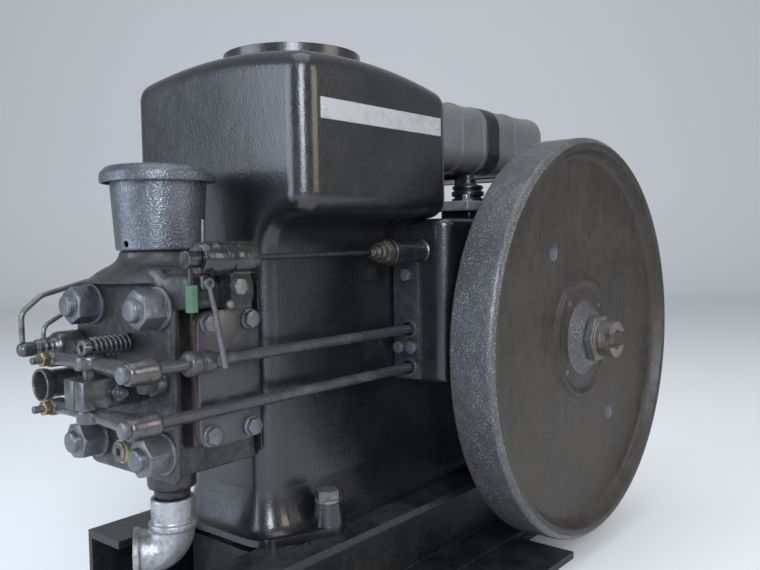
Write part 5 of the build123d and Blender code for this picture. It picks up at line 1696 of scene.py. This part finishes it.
@dataclass
class FuelTank:
    """The stamped end plates of the tank."""

    front_x: float = -186
    rear_x: float = 96
    half_width: float = 108
    bottom_z: float = 570
    top_z: float = 668
    corner: float = 30
    seam: float = 1.4
    thickness: float = 7
    insets: tuple[tuple[float, float], ...] = ((1.2, 0), (1.8, -2.4), (12, 0), (5, 1.8))

    def build(self, bench: Bench) -> None:
        """Makes the two end plates with their rolled seams.

        Args:
            bench: The bench to make it on.
        """
        front = self._end_plate(bench, "tank_end_front", self.front_x, -1)
        rear = self._end_plate(bench, "tank_end_rear", self.rear_x - self.thickness, 1)
        bench.fit(bench.join("tank_end_plates", front, rear), "fuel_tank_ends")

    def _end_plate(self, bench: Bench, name: str, low_x: float, sign: float) -> Piece:
        """Makes one end plate: a rolled seam round a sunk field with a raised middle.

        Args:
            bench: The shared modelling steps.
            name: The plate's name.
            low_x: Its lower X, in millimetres.
            sign: The way it faces along X.

        Returns:
            The end plate.
        """
        seam = self.seam
        plate = bench.block(name, (low_x, -self.half_width - seam, self.bottom_z - seam),
                            (low_x + self.thickness, self.half_width + seam, self.top_z + seam))
        bench.round_block(plate, 0, self.corner + seam, 10)
        with bench.editing(plate, "FACE"):
            bench.pick(plate.data.polygons, lambda face: face.normal.x * sign > 0.9)
            for thickness, depth in self.insets:
                bpy.ops.mesh.inset(thickness=thickness * MM, depth=depth * MM)
        return bench.soften(plate, 0.7)


# Studio


@dataclass(frozen=True)
class Lamp:
    """One soft area light."""

    name: str
    place: Point
    aim: Point
    size: tuple[float, float]
    power: float
    color: Color

    def build(self) -> None:
        """Adds the light to the scene."""
        bpy.ops.object.light_add(type="AREA", location=self.place)
        lamp = bpy.context.object
        lamp.name = self.name
        lamp.data.shape = "RECTANGLE"
        lamp.data.size, lamp.data.size_y = self.size
        lamp.data.energy = self.power
        lamp.data.color = self.color
        lamp.rotation_euler = (Vector(self.aim) - Vector(self.place)).to_track_quat("-Z", "Y").to_euler()


@dataclass(frozen=True)
class Studio:
    """The pale floor and backdrop, the soft lights and the camera."""

    camera_place: Point = (-1.0811, -0.7302, 0.4740)
    heading_deg: float = 39.46
    pitch_deg: float = 3.32
    roll_deg: float = -0.956
    focal_px: float = 785
    width_px: float = 760
    sensor_mm: float = 36
    floor_half: float = 4.5
    floor_z: float = -0.0008
    floor_color: Color = (0.86, 0.865, 0.87)
    backdrop_radius: float = 0.9
    backdrop_height: float = 4
    backdrop_steps: int = 12
    world_color: Color = (0.88, 0.93, 1)
    world_strength: float = 0.34
    backdrop_strength: float = 0.62
    lamps: tuple[Lamp, ...] = (
        Lamp("window_light", (-2.75, -2.55, 1.75), (-0.35, 0, 0.42), (1.2, 2), 118, (0.84, 0.91, 1)),
        Lamp("wall_light", (-3, 1.3, 1.1), (-0.4, 0, 0.4), (2, 2.4), 66, (0.76, 0.86, 1)),
        Lamp("top_light", (-0.5, -0.4, 3), (-0.2, 0, 0.3), (2.6, 2.6), 36, (0.90, 0.95, 1)),
        Lamp("near_fill", (0.9, -3.2, 1.5), (0, -0.1, 0.35), (1.6, 1.6), 30, (1, 0.90, 0.76)),
    )

    def build(self, bench: Bench) -> None:
        """Makes the floor, the lights, the world and the camera.

        Args:
            bench: The bench to make it on.
        """
        self._floor(bench)
        for lamp in self.lamps:
            lamp.build()
        self._world()
        self._camera()
        LOG.info("studio ready")

    def _floor(self, bench: Bench) -> None:
        """Makes a floor that curves up into a backdrop behind the engine.

        Args:
            bench: The bench to make it on.
        """
        bpy.ops.mesh.primitive_plane_add(size=2 * self.floor_half, location=(0, 0, self.floor_z))
        floor = bpy.context.object
        floor.name = "studio_floor"
        with bench.editing(floor, "EDGE"):
            bench.pick(floor.data.edges, lambda edge: all(floor.data.vertices[index].co.x > 0
                                                          for index in edge.vertices))
            stride = self.backdrop_radius * 2 * math.sin(math.pi / 4 / self.backdrop_steps)
            angles = [math.pi / 2 * (step + 0.5) / self.backdrop_steps for step in range(self.backdrop_steps)]
            strides = [(stride * math.cos(angle), 0, stride * math.sin(angle)) for angle in angles]
            for move in (*strides, (0, 0, self.backdrop_height)):
                bpy.ops.mesh.extrude_region_move(TRANSFORM_OT_translate={"value": move})
        floor.rotation_euler = (0, 0, math.radians(self.heading_deg))
        settle()
        bpy.ops.object.shade_smooth()
        material = bpy.data.materials.new("Studio pale")
        material.use_nodes = True
        graph = Graph(material.node_tree)
        look = {"Base Color": rgba(self.floor_color), "Roughness": 0.9}
        shader = graph.node("ShaderNodeBsdfPrincipled", look)
        graph.node("ShaderNodeOutputMaterial", {"Surface": shader.outputs["BSDF"]})
        floor.data.materials.append(material)

    def _world(self) -> None:
        """Makes a soft surrounding light that the camera sees as a paler backdrop."""
        world = bpy.data.worlds.new("studio_world")
        bpy.context.scene.world = world
        world.use_nodes = True
        graph = Graph(world.node_tree)
        seen = graph.node("ShaderNodeLightPath", {}).outputs["Is Camera Ray"]
        strength = graph.span(seen, 0, 1, self.world_strength, self.backdrop_strength)
        backdrop = graph.node("ShaderNodeBackground", {"Color": rgba(self.world_color), "Strength": strength})
        graph.node("ShaderNodeOutputWorld", {"Surface": backdrop.outputs["Background"]})

    def _camera(self) -> None:
        """Sets the camera at the photograph's place, direction and lens."""
        yaw, pitch = math.radians(self.heading_deg), math.radians(self.pitch_deg)
        roll = math.radians(self.roll_deg)
        ahead = Vector((math.cos(yaw) * math.cos(pitch), math.sin(yaw) * math.cos(pitch), -math.sin(pitch)))
        level = ahead.cross(Vector((0, 0, 1))).normalized()
        right = math.cos(roll) * level + math.sin(roll) * level.cross(ahead)
        turn = Matrix((right, right.cross(ahead), -ahead)).transposed().to_4x4()
        bpy.ops.object.camera_add()
        camera = bpy.context.object
        camera.name = "photo_camera"
        camera.matrix_world = Matrix.Translation(self.camera_place) @ turn
        camera.data.sensor_width = self.sensor_mm
        camera.data.lens = self.focal_px / self.width_px * self.sensor_mm
        camera.data.clip_start = 0.01
        bpy.context.scene.camera = camera


def main() -> None:
    """Builds the scene in order."""
    logging.basicConfig(level=logging.INFO, format="%(name)s: %(message)s")
    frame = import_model()
    effects = Effects()
    bench = Bench(frame, {name: finish.build(effects) for name, finish in FINISHES.items()})
    bench.dress_nodes()
    for assembly in (HeadCasting(), ValveGear(), AirFilter(), Wheel(), ControlGear(), TappetPlate(),
                     Breather(), FuelTank(), Studio()):
        assembly.build(bench)
    bpy.context.scene.view_settings.view_transform = "Standard"


if __name__ == "__main__":
    main()
